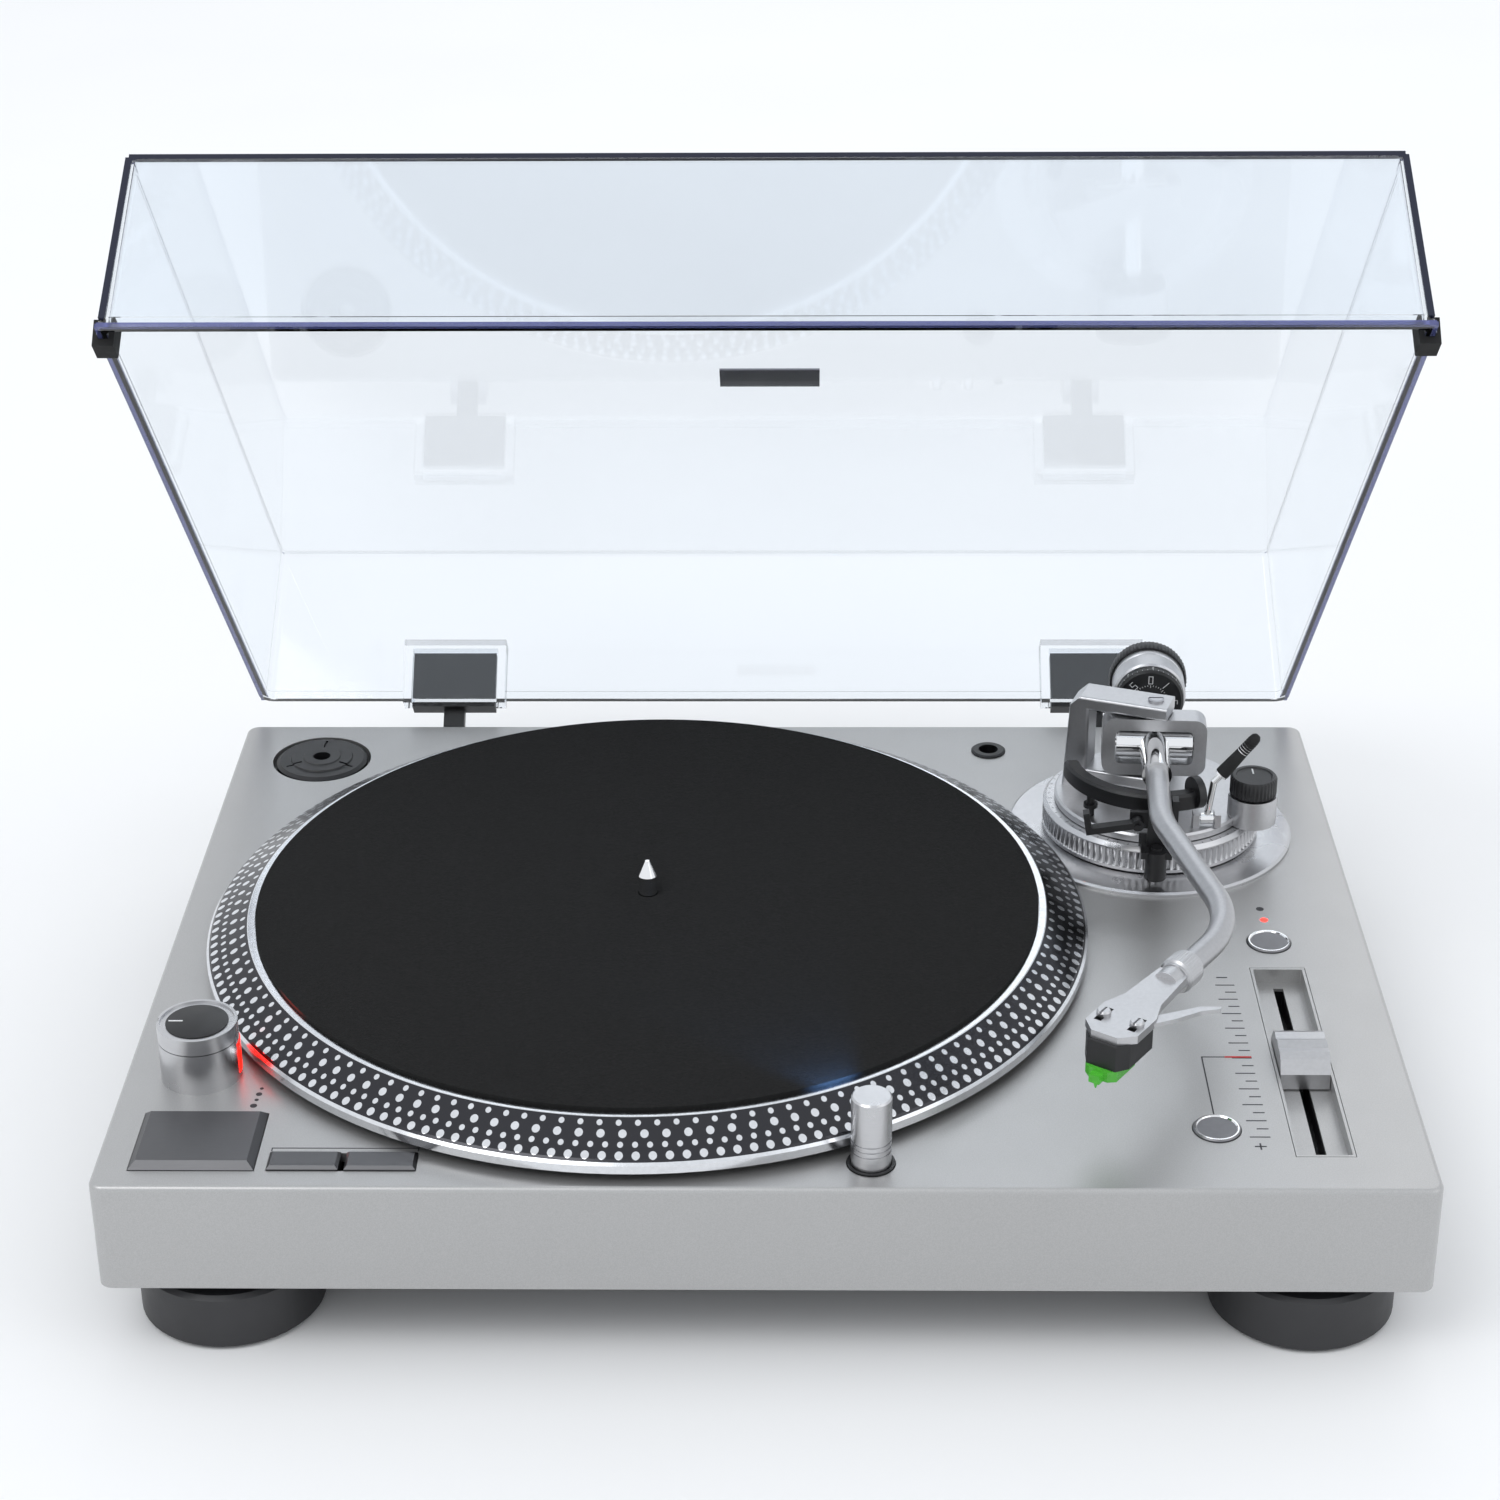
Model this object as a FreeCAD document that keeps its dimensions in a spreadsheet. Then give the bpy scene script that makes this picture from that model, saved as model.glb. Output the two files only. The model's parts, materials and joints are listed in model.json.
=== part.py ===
import FreeCAD, Part

# Direct-drive turntable record player with a hinged clear dust cover, in millimetres.
# +X is to the right and +Y to the back. The origin is on the table, under the middle of the
# whole player with its cover open. Every sub-part is an object with its own Label, and each
# size is a cell of the sheet, or is worked out from those cells.

import math
import os

import Sketcher

os.makedirs("parts", exist_ok=True)
doc = FreeCAD.newDocument("turntable")
Vector = FreeCAD.Vector
Rotation = FreeCAD.Rotation

# ---------------------------------------------------------------------------
# Driving dimensions
# ---------------------------------------------------------------------------

DIMENSIONS = {
    "Clearances and shared walls": {
        "fit_gap": (0.05, "radial clearance of a shaft in its bearing"),
        "free_gap": (0.3, "clearance between pieces that pass each other"),
        "panel_gap": (0.25, "gap round an insert in its cut-out"),
    },
    "Plinth": {
        "plinth_width": (452, "left to right"),
        "plinth_depth": (346, "front to back"),
        "plinth_height": (41, "bottom edge to top face"),
        "plinth_wall": (3, "side wall"),
        "plinth_roof": (3.5, "top wall"),
        "plinth_corner": (5, "radius of the upright corners"),
        "plinth_edge": (1.8, "radius round the top face"),
        "plinth_back_shift": (32.5, "plinth centre in front of the origin"),
        "cover_thick": (4, "bottom cover"),
        "case_screw_radius": (1.5, "shank of a case screw"),
        "case_screw_x": (12, "case screw in from the side"),
        "case_screw_y": (62, "case screw in from the front and back"),
    },
    "Feet": {
        "foot_radius": (32.2, "cup"),
        "foot_height": (22, "cup"),
        "foot_neck_radius": (20, "damper above the cup"),
        "foot_neck_height": (5.5, "cup to plinth"),
        "foot_inset_x": (39, "foot centre in from the side"),
        "foot_inset_y": (34, "foot centre in from the front and back"),
        "foot_pad_thick": (1.5, "felt ring under the cup"),
    },
    "Platter and motor": {
        "platter_x": (-45.5, "spindle from the plinth centre"),
        "platter_y": (-3.5, "spindle from the plinth centre"),
        "platter_radius": (166, "outer rim"),
        "platter_lift": (2.5, "rim above the plinth"),
        "platter_seat": (15, "mat seat above the plinth"),
        "rim_width": (18.4, "strobe band and ring, from the rim to the mat's seat"),
        "mat_gap": (0.4, "mat's edge to the ring round it"),
        "mat_thick": (2.5, "slip mat"),
        "spindle_radius": (3.6, "record pin"),
        "spindle_reach": (13.5, "record pin above the mat"),
        "spindle_nose": (6, "height of the pin's cone"),
        "hub_radius": (5, "shaft through the platter"),
        "shaft_radius": (4, "shaft in the bearing"),
        "bearing_length": (26, "bearing sleeve"),
        "bearing_radius": (12, "bearing sleeve"),
        "well_margin": (26, "motor well's wall in from the platter's rim"),
        "well_depth": (12, "motor well floor below the plinth top"),
        "magnet_radius": (68, "rotor magnet ring"),
        "magnet_wall": (8, "rotor magnet ring"),
        "stator_radius": (56, "across the pole tips"),
        "stator_height": (12, "coil stack"),
        "board_thick": (1.6, "circuit boards"),
    },
    "Strobe tower": {
        "tower_x": (-199, "from the plinth centre"),
        "tower_y": (-103, "from the plinth centre"),
        "tower_radius": (14.1, "sleeve"),
        "tower_height": (15.7, "fixed sleeve"),
        "knob_height": (6, "power knob"),
    },
    "Buttons": {
        "start_x": (-192.8, "start button from the plinth centre"),
        "start_y": (-145.7, "start button from the plinth centre"),
        "start_width": (43, "start button cut-out"),
        "start_depth": (35, "start button cut-out"),
        "start_proud": (2.6, "start button above the top"),
        "start_bevel": (2.4, "start button edge"),
        "button_travel": (1.2, "press of each button"),
        "speed_x": (-142.2, "speed buttons from the plinth centre"),
        "speed_y": (-157.7, "speed buttons from the plinth centre"),
        "speed_width": (50.7, "speed buttons cut-out"),
        "speed_depth": (10.7, "speed buttons cut-out"),
        "speed_divider": (2, "bar between the two"),
        "speed_proud": (1.5, "speed buttons above the top"),
        "round_radius": (8.5, "round button cut-out"),
        "round_proud": (0.9, "round buttons above the top"),
        "tempo_x": (188.8, "tempo range button from the plinth centre"),
        "tempo_y": (-10.5, "tempo range button from the plinth centre"),
        "quartz_x": (154.4, "pitch lock button from the plinth centre"),
        "quartz_y": (-136.5, "pitch lock button from the plinth centre"),
    },
    "Pitch slider": {
        "slider_x": (189.3, "from the plinth centre"),
        "slider_y": (-91.2, "middle of the tray"),
        "slider_mid": (-91.5, "knob at zero pitch"),
        "tray_width": (20.6, "tray opening"),
        "tray_length": (124, "tray opening"),
        "tray_depth": (5.5, "tray floor below the top"),
        "slot_width": (3.6, "slot in the tray floor"),
        "slot_length": (112, "slot in the tray floor"),
        "slider_knob_width": (17.5, "knob"),
        "slider_knob_length": (25, "knob along the slot"),
        "slider_knob_proud": (7.5, "knob above the top"),
    },
    "Target light": {
        "lamp_x": (35.9, "from the plinth centre"),
        "lamp_y": (-157.3, "from the plinth centre"),
        "lamp_radius": (6.9, "lamp post"),
        "lamp_proud": (2, "pushed down, above the top"),
        "lamp_travel": (25, "push down"),
    },
    "Stores on the top": {
        "adapter_x": (-190, "from the plinth centre"),
        "adapter_y": (141, "from the plinth centre"),
        "adapter_radius": (19.05, "fits a 38.2 mm record hole"),
        "adapter_height": (8, "overall"),
        "adapter_recess": (20.6, "radius of its well"),
        "adapter_sink": (6.4, "depth of its well"),
        "socket_x": (91.5, "headshell store from the plinth centre"),
        "socket_y": (149, "headshell store from the plinth centre"),
        "socket_radius": (7.2, "flange"),
        "socket_bore": (4.1, "for a headshell's plug"),
        "socket_depth": (14, "blind bore"),
    },
    "Tonearm base": {
        "pivot_x": (152.5, "from the plinth centre"),
        "pivot_y": (79.8, "from the plinth centre"),
        "arm_base_radius": (56.5, "fixed disc"),
        "arm_base_thick": (2.1, "fixed disc"),
        "ring_radius": (43, "height ring"),
        "ring_height": (11.6, "height ring"),
        "column_radius": (20, "rising column"),
        "deck_radius": (38.5, "deck on the column"),
        "deck_thick": (3.2, "deck on the column"),
        "pillar_turn": (-26.5, "anti-skate pillar's bearing, in degrees"),
        "pillar_reach": (42.2, "anti-skate pillar from the pivot"),
        "pillar_radius": (9.6, "anti-skate pillar"),
        "pillar_height": (8.5, "anti-skate pillar above the deck"),
        "skate_radius": (9.3, "anti-skate knob"),
        "skate_height": (7.8, "anti-skate knob"),
    },
    "Tonearm": {
        "arm_axis": (39, "pivot above the plinth top"),
        "rest_turn": (-3.2, "arm's bearing at rest, in degrees"),
        "yoke_turn": (-20, "yoke's bearing, in degrees"),
        "yoke_reach": (33.3, "pivot to the outer face of the yoke's leg"),
        "yoke_bar": (8, "yoke's leg"),
        "yoke_arm": (5.5, "yoke's top and bottom arms"),
        "yoke_width": (14, "yoke across"),
        "gimbal_width": (41, "gimbal ring"),
        "barrel_room": (1.25, "barrel to the gimbal ring, so that the arm can tilt"),
        "gimbal_corner": (5, "gimbal ring's outer corners"),
        "gimbal_bar": (5, "gimbal ring's section"),
        "gimbal_depth": (10, "gimbal ring along the arm"),
        "pin_radius": (1.5, "pivot pins"),
        "barrel_radius": (6, "bearing barrel"),
        "tube_radius": (4.5, "arm tube"),
        "tube_wall": (0.8, "arm tube"),
        "first_bend": (66, "pivot to the first bend"),
        "second_bend": (143, "pivot to the second bend, along the first run"),
        "bend_offset": (22.4, "second bend from the first run's line"),
        "nut_offset": (5, "headshell nut from the first run's line"),
        "nut_start": (172, "pivot to the headshell nut, along the first run"),
        "first_bend_radius": (60, "tube's centre line"),
        "second_bend_radius": (48, "tube's centre line"),
        "shell_turn": (-31, "headshell's bearing, in degrees"),
        "nut_radius": (6.4, "headshell nut"),
        "nut_length": (12, "headshell nut"),
        "shell_length": (49, "headshell plate"),
        "shell_neck": (5.4, "half width at the nut"),
        "shell_half": (10, "half width at the front"),
        "shell_thick": (3, "headshell plate"),
        "stylus_reach": (65.3, "nut to stylus"),
        "stylus_drop": (16, "arm axis to stylus tip"),
        "stub_radius": (4, "rear stub"),
        "weight_start": (37, "pivot to the force dial"),
        "dial_radius": (13.8, "force dial"),
        "dial_thick": (4, "force dial"),
        "weight_radius": (14.8, "counterweight"),
        "weight_length": (14, "counterweight"),
        "weight_grip_radius": (16, "counterweight's knurled end"),
        "weight_grip_length": (7, "counterweight's knurled end"),
    },
    "Arm lifter and rest": {
        "lift_radius": (33, "middle of the lift bar"),
        "lift_width": (6, "lift bar"),
        "lift_height": (6.6, "lift bar"),
        "lift_gap": (1.1, "lift bar below the tube at rest"),
        "lift_start": (188, "bar's first end, in degrees"),
        "lift_sweep": (104, "bar's arc, in degrees"),
        "lift_stem_turn": (218, "guide stem's bearing, in degrees"),
        "lift_stem_radius": (1.6, "guide stem"),
        "lever_x": (18.6, "cue lever from the pivot"),
        "lever_y": (-29.4, "cue lever from the pivot"),
        "lever_rise": (3, "cue lever's pin above the deck"),
        "lever_radius": (1.3, "cue lever's rod"),
        "lever_stem": (16, "cue lever's rod"),
        "handle_length": (22, "cue lever's grip"),
        "rest_reach": (44, "arm rest from the pivot"),
        "rest_gap": (1.6, "saddle below the tube"),
        "rest_seat": (36, "flat on the deck's edge, from the pivot"),
        "clip_width": (4, "arm clip along the tube"),
        "clip_turn": (100, "arm clip's opening, in degrees"),
    },
    "Dust cover": {
        "lid_side_in": (3, "cover's rim in from the plinth's side"),
        "lid_front_over": (1.5, "cover's rim beyond the plinth's front"),
        "lid_back_in": (1, "cover's rim in from the plinth's back"),
        "lid_height": (70, "rim to top"),
        "lid_wall": (2.4, "acrylic"),
        "lid_lip": (1, "rim band beyond the wall"),
        "lid_lip_height": (4, "rim band"),
        "lid_side_draft": (3.2, "top in from the rim, each side"),
        "lid_front_draft": (6, "top in from the rim, front"),
        "lid_back_draft": (2.2, "top in from the rim, back"),
        "lid_corner": (6, "radius of the upright corners"),
        "lid_edge": (2.4, "edge softened round the top"),
        "lid_gap": (3, "rim above the plinth when shut"),
        "lid_open": (47, "opening at rest, in degrees"),
        "hinge_back": (8.4, "hinge axis behind the plinth"),
        "hinge_drop": (17.5, "hinge axis below the plinth top"),
        "hinge_x": (139, "hinge from the middle"),
        "pocket_width": (44.5, "moulded hinge pocket"),
        "pocket_height": (28, "moulded hinge pocket"),
        "pocket_depth": (9.5, "moulded hinge pocket"),
        "leaf_width": (36, "hinge leaf"),
        "leaf_thick": (5, "hinge leaf"),
        "knuckle_radius": (6.5, "hinge knuckle"),
        "knuckle_width": (9, "hinge knuckle"),
        "hinge_pin_radius": (2, "hinge pin"),
        "bracket_ear": (3.2, "hinge bracket's ears"),
        "bracket_plate": (1.5, "hinge bracket's plate on the plinth"),
        "leaf_gap": (1.2, "hinge leaf's neck to that plate"),
        "bumper_length": (9, "rubber bumper along the rim"),
        "bumper_height": (7, "rubber bumper above the rim"),
        "bumper_back": (2, "rubber bumper's front end behind the upright corner"),
        "badge_width": (39, "plain plate on the cover"),
        "badge_depth": (14, "plain plate on the cover"),
    },
    "Back panel and electronics": {
        "panel_x": (50, "socket panel from the middle"),
        "panel_width": (120, "socket panel"),
        "panel_height": (24, "socket panel"),
        "panel_thick": (2, "socket panel"),
        "rca_radius": (4.15, "phono socket sleeve"),
        "rca_length": (9, "phono socket sleeve"),
        "rca_pitch": (14, "between phono sockets"),
        "inlet_x": (-186, "mains inlet from the middle"),
        "inlet_width": (24, "mains inlet"),
        "inlet_height": (16, "mains inlet"),
        "transformer_width": (70, "windings included"),
        "transformer_depth": (56, "windings included"),
        "transformer_height": (20, "windings included"),
        "transformer_x": (-150, "from the middle"),
        "transformer_y": (122, "from the middle"),
        "board_x": (30, "main board from the middle"),
        "board_y": (-128, "main board from the middle"),
        "board_width": (200, "main board"),
        "board_depth": (38, "main board"),
        "board_rise": (6, "main board above the bottom cover"),
    },
}


class Size:
    """A length held twice: as sheet expression text, and as its present value."""

    def __init__(self, text, value):
        self.text = text
        self.value = value

    def joined(self, sign, other, value):
        text = other.text if isinstance(other, Size) else repr(float(other))
        return Size(f"({self.text} {sign} {text})", value)

    def __add__(self, other):
        return self.joined("+", other, self.value + number(other))

    def __sub__(self, other):
        return self.joined("-", other, self.value - number(other))

    def __mul__(self, other):
        return self.joined("*", other, self.value * number(other))

    def __truediv__(self, other):
        return self.joined("/", other, self.value / number(other))

    def __neg__(self):
        return self * -1

    def __radd__(self, other):
        return self + other

    def __rmul__(self, other):
        return self * other

    def __rsub__(self, other):
        return -self + other


def number(size):
    return size.value if isinstance(size, Size) else float(size)


def sine(angle):
    """The sine of a size that is an angle in degrees."""
    return Size(f"sin({angle.text} * 1 deg)", math.sin(math.radians(angle.value)))


def cosine(angle):
    return Size(f"cos({angle.text} * 1 deg)", math.cos(math.radians(angle.value)))


class Sizes:
    """Each driving dimension as an attribute, read from the document's sheet."""


def fill_sheet():
    """Write the driving dimensions into the sheet, and return them as Size attributes."""
    sheet = doc.addObject("Spreadsheet::Sheet", "Sizes")
    sizes = Sizes()
    row = 1
    for heading, cells in DIMENSIONS.items():
        sheet.set(f"A{row}", heading)
        row += 1
        for alias, (value, note) in cells.items():
            sheet.set(f"A{row}", alias)
            sheet.set(f"B{row}", str(value))
            sheet.set(f"C{row}", note)
            sheet.setAlias(f"B{row}", alias)
            setattr(sizes, alias, Size(f"Sizes.{alias}", float(value)))
            row += 1
    doc.recompute()
    return sizes


S = fill_sheet()

# Levels and places shared by many pieces
ZERO = Size("0", 0.0)
MID_Y = -S.plinth_back_shift
FLOOR = S.foot_height + S.foot_neck_height
TOP = FLOOR + S.plinth_height
ROOF = TOP - S.plinth_roof
INSIDE = FLOOR + S.cover_thick
PIVOT = (S.pivot_x, MID_Y + S.pivot_y, TOP)
SPINDLE = (S.platter_x, MID_Y + S.platter_y, TOP)
DECK = S.arm_base_thick + S.free_gap + S.ring_height + S.free_gap
BACK = MID_Y + S.plinth_depth / 2
HINGE = (0, BACK + S.hinge_back, TOP - S.hinge_drop)
MAT_SEAT = S.platter_radius - S.rim_width
WELL_RADIUS = S.platter_radius - S.well_margin
GIMBAL_HEIGHT = 2 * (S.barrel_radius + S.barrel_room + S.gimbal_bar)
BARREL_END = S.lift_radius - S.lift_width / 2 - 4 * S.free_gap


# ---------------------------------------------------------------------------
# Making and placing shapes
# ---------------------------------------------------------------------------

ALONG = {
    "z": Rotation(),
    "-z": Rotation(Vector(1, 0, 0), 180),
    "x": Rotation(Vector(0, 1, 0), 90),
    "-x": Rotation(Vector(0, 1, 0), -90),
    "y": Rotation(Vector(1, 0, 0), -90),
    "-y": Rotation(Vector(1, 0, 0), 90),
}


def bind(item, prop, size):
    """Tie one property to the sheet, or set it where the size is a plain number."""
    if isinstance(size, Size):
        item.setExpression(prop, size.text)
    else:
        setattr(item, prop, float(size))


def place(item, at=(0, 0, 0), turn=None):
    """Put an item's own origin at a point, turned by a Rotation."""
    item.Placement = FreeCAD.Placement(Vector(*[number(v) for v in at]), turn or Rotation())
    for axis, size in zip("xyz", at):
        if isinstance(size, Size):
            item.setExpression(f"Placement.Base.{axis}", size.text)
    return item


def labelled(kind, label):
    item = doc.addObject(kind, label)
    item.Label = label
    return item


def block(label, width, depth, height, at=(0, 0, 0)):
    """A box on the middle of its bottom face."""
    item = labelled("Part::Box", label)
    bind(item, "Length", width)
    bind(item, "Width", depth)
    bind(item, "Height", height)
    x, y, z = at
    return place(item, (x - width / 2, y - depth / 2, z))


def rod(label, radius, length, at=(0, 0, 0), along="z"):
    item = labelled("Part::Cylinder", label)
    bind(item, "Radius", radius)
    bind(item, "Height", length)
    return place(item, at, ALONG[along])


def taper(label, start_radius, end_radius, length, at=(0, 0, 0), along="z"):
    item = labelled("Part::Cone", label)
    bind(item, "Radius1", start_radius)
    bind(item, "Radius2", end_radius)
    bind(item, "Height", length)
    return place(item, at, ALONG[along])


def ball(label, radius, at=(0, 0, 0)):
    item = labelled("Part::Sphere", label)
    bind(item, "Radius", radius)
    return place(item, at)


def joined(label, pieces):
    item = labelled("Part::MultiFuse", label)
    item.Shapes = pieces
    return item


def carved(label, base, tools):
    item = labelled("Part::Cut", label)
    item.Base = base
    item.Tool = tools[0] if len(tools) == 1 else joined(label + "_cutters", tools)
    return item


def kept_inside(label, base, tool):
    item = labelled("Part::Common", label)
    item.Base = base
    item.Tool = tool
    return item


def grouped(label, pieces):
    item = labelled("Part::Compound", label)
    item.Links = pieces
    return item


def softened(label, base, radius, wanted):
    """Round the edges that pass a test of their middle point and their direction."""
    doc.recompute()
    edges = []
    for index, edge in enumerate(base.Shape.Edges, 1):
        start, end = edge.FirstParameter, edge.LastParameter
        middle = edge.valueAt((start + end) / 2)
        if wanted(middle, edge):
            edges.append((index, number(radius), number(radius)))
    item = labelled("Part::Fillet", label)
    item.Base = base
    item.Edges = edges
    return item


def origin_plane(body, role):
    return next(f for f in body.Origin.OriginFeatures if f.Role == role)


def new_sketch(body, label, role, lift=0):
    sketch = body.newObject("Sketcher::SketchObject", label)
    sketch.AttachmentSupport = [(origin_plane(body, role), "")]
    sketch.MapMode = "FlatFace"
    if isinstance(lift, Size):
        sketch.setExpression("AttachmentOffset.Base.z", lift.text)
    else:
        sketch.AttachmentOffset = FreeCAD.Placement(Vector(0, 0, lift), Rotation())
    return sketch


def pin_down(sketch, edge, end, point):
    """Hold one end of a sketch edge at a point whose two coordinates are sizes."""
    for kind, size in zip(("DistanceX", "DistanceY"), point):
        held = Sketcher.Constraint(kind, -1, 1, edge, end, number(size))
        index = sketch.addConstraint(held)
        if isinstance(size, Size):
            sketch.setExpression(f"Constraints[{index}]", size.text)


def draw_polygon(sketch, points):
    """A closed outline of straight edges through sized points."""
    first = sketch.GeometryCount
    flat = [Vector(number(x), number(y), 0) for x, y in points]
    for start, end in zip(flat, flat[1:] + flat[:1]):
        sketch.addGeometry(Part.LineSegment(start, end))
    for i in range(len(points)):
        after = first + (i + 1) % len(points)
        sketch.addConstraint(Sketcher.Constraint("Coincident", first + i, 2, after, 1))
        pin_down(sketch, first + i, 1, points[i])


def draw_rounded(sketch, low, high, radius):
    """A rectangle from its low to its high corner, with quarter-round corners."""
    (x0, y0), (x1, y1) = low, high
    ends = [
        ((x0 + radius, y0), (x1 - radius, y0)),
        ((x1, y0 + radius), (x1, y1 - radius)),
        ((x1 - radius, y1), (x0 + radius, y1)),
        ((x0, y1 - radius), (x0, y0 + radius)),
    ]
    centres = [(x1 - radius, y0 + radius), (x1 - radius, y1 - radius)]
    centres += [(x0 + radius, y1 - radius), (x0 + radius, y0 + radius)]
    lines = []
    for start, end in ends:
        flat = [Vector(number(x), number(y), 0) for x, y in (start, end)]
        lines.append(sketch.addGeometry(Part.LineSegment(*flat)))
        pin_down(sketch, lines[-1], 1, start)
        pin_down(sketch, lines[-1], 2, end)
    for i, centre in enumerate(centres):
        middle = Vector(number(centre[0]), number(centre[1]), 0)
        circle = Part.Circle(middle, Vector(0, 0, 1), number(radius))
        start = math.pi / 2 * (i - 1)
        arc = sketch.addGeometry(Part.ArcOfCircle(circle, start, start + math.pi / 2))
        sketch.addConstraint(Sketcher.Constraint("Coincident", lines[i], 2, arc, 1))
        sketch.addConstraint(Sketcher.Constraint("Coincident", arc, 2, lines[(i + 1) % 4], 1))
        index = sketch.addConstraint(Sketcher.Constraint("Radius", arc, number(radius)))
        if isinstance(radius, Size):
            sketch.setExpression(f"Constraints[{index}]", radius.text)


def new_body(label):
    return labelled("PartDesign::Body", label)


def pad(body, sketch, thick):
    feature = body.newObject("PartDesign::Pad", sketch.Label + "_pad")
    feature.Profile = sketch
    bind(feature, "Length", thick)
    body.Tip = feature
    return feature


def turned(label, outline, at=(0, 0, 0), turn=None):
    """A turned piece: (radius, height) points, swept once about its own Z."""
    body = new_body(label)
    sketch = new_sketch(body, label + "_outline", "XZ_Plane")
    draw_polygon(sketch, outline)
    feature = body.newObject("PartDesign::Revolution", label + "_turning")
    feature.Profile = sketch
    feature.ReferenceAxis = (sketch, ["V_Axis"])
    feature.Angle = 360
    body.Tip = feature
    return place(body, at, turn)


def slab(label, outline, thick, at=(0, 0, 0), turn=None):
    """A flat plate with a straight-edged outline, raised by its thickness."""
    body = new_body(label)
    sketch = new_sketch(body, label + "_outline", "XY_Plane")
    draw_polygon(sketch, outline)
    pad(body, sketch, thick)
    return place(body, at, turn)


def rounded_slab(label, width, depth, radius, thick, at=(0, 0, 0), turn=None):
    """A flat plate with rounded corners, about its own centre."""
    body = new_body(label)
    sketch = new_sketch(body, label + "_outline", "XY_Plane")
    draw_rounded(sketch, (-width / 2, -depth / 2), (width / 2, depth / 2), radius)
    pad(body, sketch, thick)
    return place(body, at, turn)


def on_plinth(x, y, z=0):
    """A point given from the plinth's centre and its top face."""
    return (x, MID_Y + y, TOP + z)


SUB_PARTS = []


def part(item):
    """Mark an item as a finished sub-part."""
    SUB_PARTS.append(item)
    return item


# ---------------------------------------------------------------------------
# Plinth and feet
# ---------------------------------------------------------------------------


def foot_places(x_in, y_in):
    """The four corners of the plinth, moved in by the two distances."""
    x, y = S.plinth_width / 2 - x_in, S.plinth_depth / 2 - y_in
    return [(sx * x, MID_Y + sy * y) for sx in (-1, 1) for sy in (-1, 1)]


CASE_SCREWS = foot_places(S.case_screw_x, S.case_screw_y)
START = on_plinth(S.start_x, S.start_y)
SPEED = on_plinth(S.speed_x, S.speed_y)
TEMPO = on_plinth(S.tempo_x, S.tempo_y)
QUARTZ = on_plinth(S.quartz_x, S.quartz_y)
SLIDER = on_plinth(S.slider_x, S.slider_y)
LAMP = on_plinth(S.lamp_x, S.lamp_y)
TOWER = on_plinth(S.tower_x, S.tower_y)
ADAPTER = on_plinth(S.adapter_x, S.adapter_y)
SOCKET = on_plinth(S.socket_x, S.socket_y)
LAMP_SLEEVE = S.lamp_radius + 1.3
PANEL_Z = FLOOR + S.plinth_height / 2 - S.panel_height / 2


def lowered(point, drop):
    x, y, z = point
    return (x, y, z - drop)


def top_case():
    """The one-piece top of the plinth, with the motor well and every cut-out."""
    width, depth, wall = S.plinth_width, S.plinth_depth, S.plinth_wall
    middle = (0, MID_Y, FLOOR)
    outer = rounded_slab("case_outer", width, depth, S.plinth_corner, S.plinth_height, middle)
    outer = softened(
        "case_rounded", outer, S.plinth_edge, lambda m, e: abs(m.z - number(TOP)) < 0.01
    )
    inner_height = S.plinth_height - S.plinth_roof
    inner = rounded_slab(
        "case_inner",
        width - 2 * wall,
        depth - 2 * wall,
        S.plinth_corner - wall,
        inner_height,
        middle,
    )
    hollow = carved("case_hollow", outer, [inner])
    boss = S.case_screw_radius + 3.5
    under = [
        rod("well_wall", WELL_RADIUS + wall, S.well_depth, lowered(SPINDLE, S.well_depth + wall)),
        rod("store_wall", S.adapter_recess + 2, S.adapter_sink, lowered(ADAPTER, S.adapter_sink + 2)),
    ]
    for i, (x, y) in enumerate(CASE_SCREWS):
        under.append(rod(f"case_boss_{i}", boss, ROOF - INSIDE, (x, y, INSIDE)))
    solid = joined("case_solid", [hollow] + under)
    cuts = [
        rod("well_cut", WELL_RADIUS, S.well_depth + 1, lowered(SPINDLE, S.well_depth)),
        rod("bearing_cut", S.bearing_radius + S.free_gap, 40, lowered(SPINDLE, 30)),
        rod("adapter_cut", S.adapter_recess, S.adapter_sink + 1, lowered(ADAPTER, S.adapter_sink)),
        rod("socket_cut", S.socket_radius - 1.2, 20, lowered(SOCKET, 15)),
        rod("tower_cut", S.tower_radius - 4, 20, lowered(TOWER, 15)),
        rod("lamp_cut", LAMP_SLEEVE + S.panel_gap, 20, lowered(LAMP, 15)),
        rod("tempo_cut", S.round_radius, 20, lowered(TEMPO, 15)),
        rod("quartz_cut", S.round_radius, 20, lowered(QUARTZ, 15)),
        rod("column_cut", S.column_radius + 4, 20, lowered(PIVOT, 15)),
        block("start_cut", S.start_width, S.start_depth, 20, lowered(START, 15)),
        block("speed_cut", S.speed_width, S.speed_depth, 20, lowered(SPEED, 15)),
        block("slider_cut", S.tray_width, S.tray_length, 20, lowered(SLIDER, 15)),
    ]
    for i, (x, y) in enumerate(CASE_SCREWS):
        cuts.append(rod(f"case_pilot_{i}", S.case_screw_radius + S.fit_gap, 14, (x, y, INSIDE)))
    back_wall = BACK - wall / 2
    cuts.append(
        block("panel_cut", S.panel_width, 2 * wall, S.panel_height, (S.panel_x, back_wall, PANEL_Z))
    )
    inlet_z = FLOOR + S.plinth_height / 2 - S.inlet_height / 2
    cuts.append(
        block("inlet_cut", S.inlet_width, 2 * wall, S.inlet_height, (S.inlet_x, back_wall, inlet_z))
    )
    return carved("top_case", solid, cuts)


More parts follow.
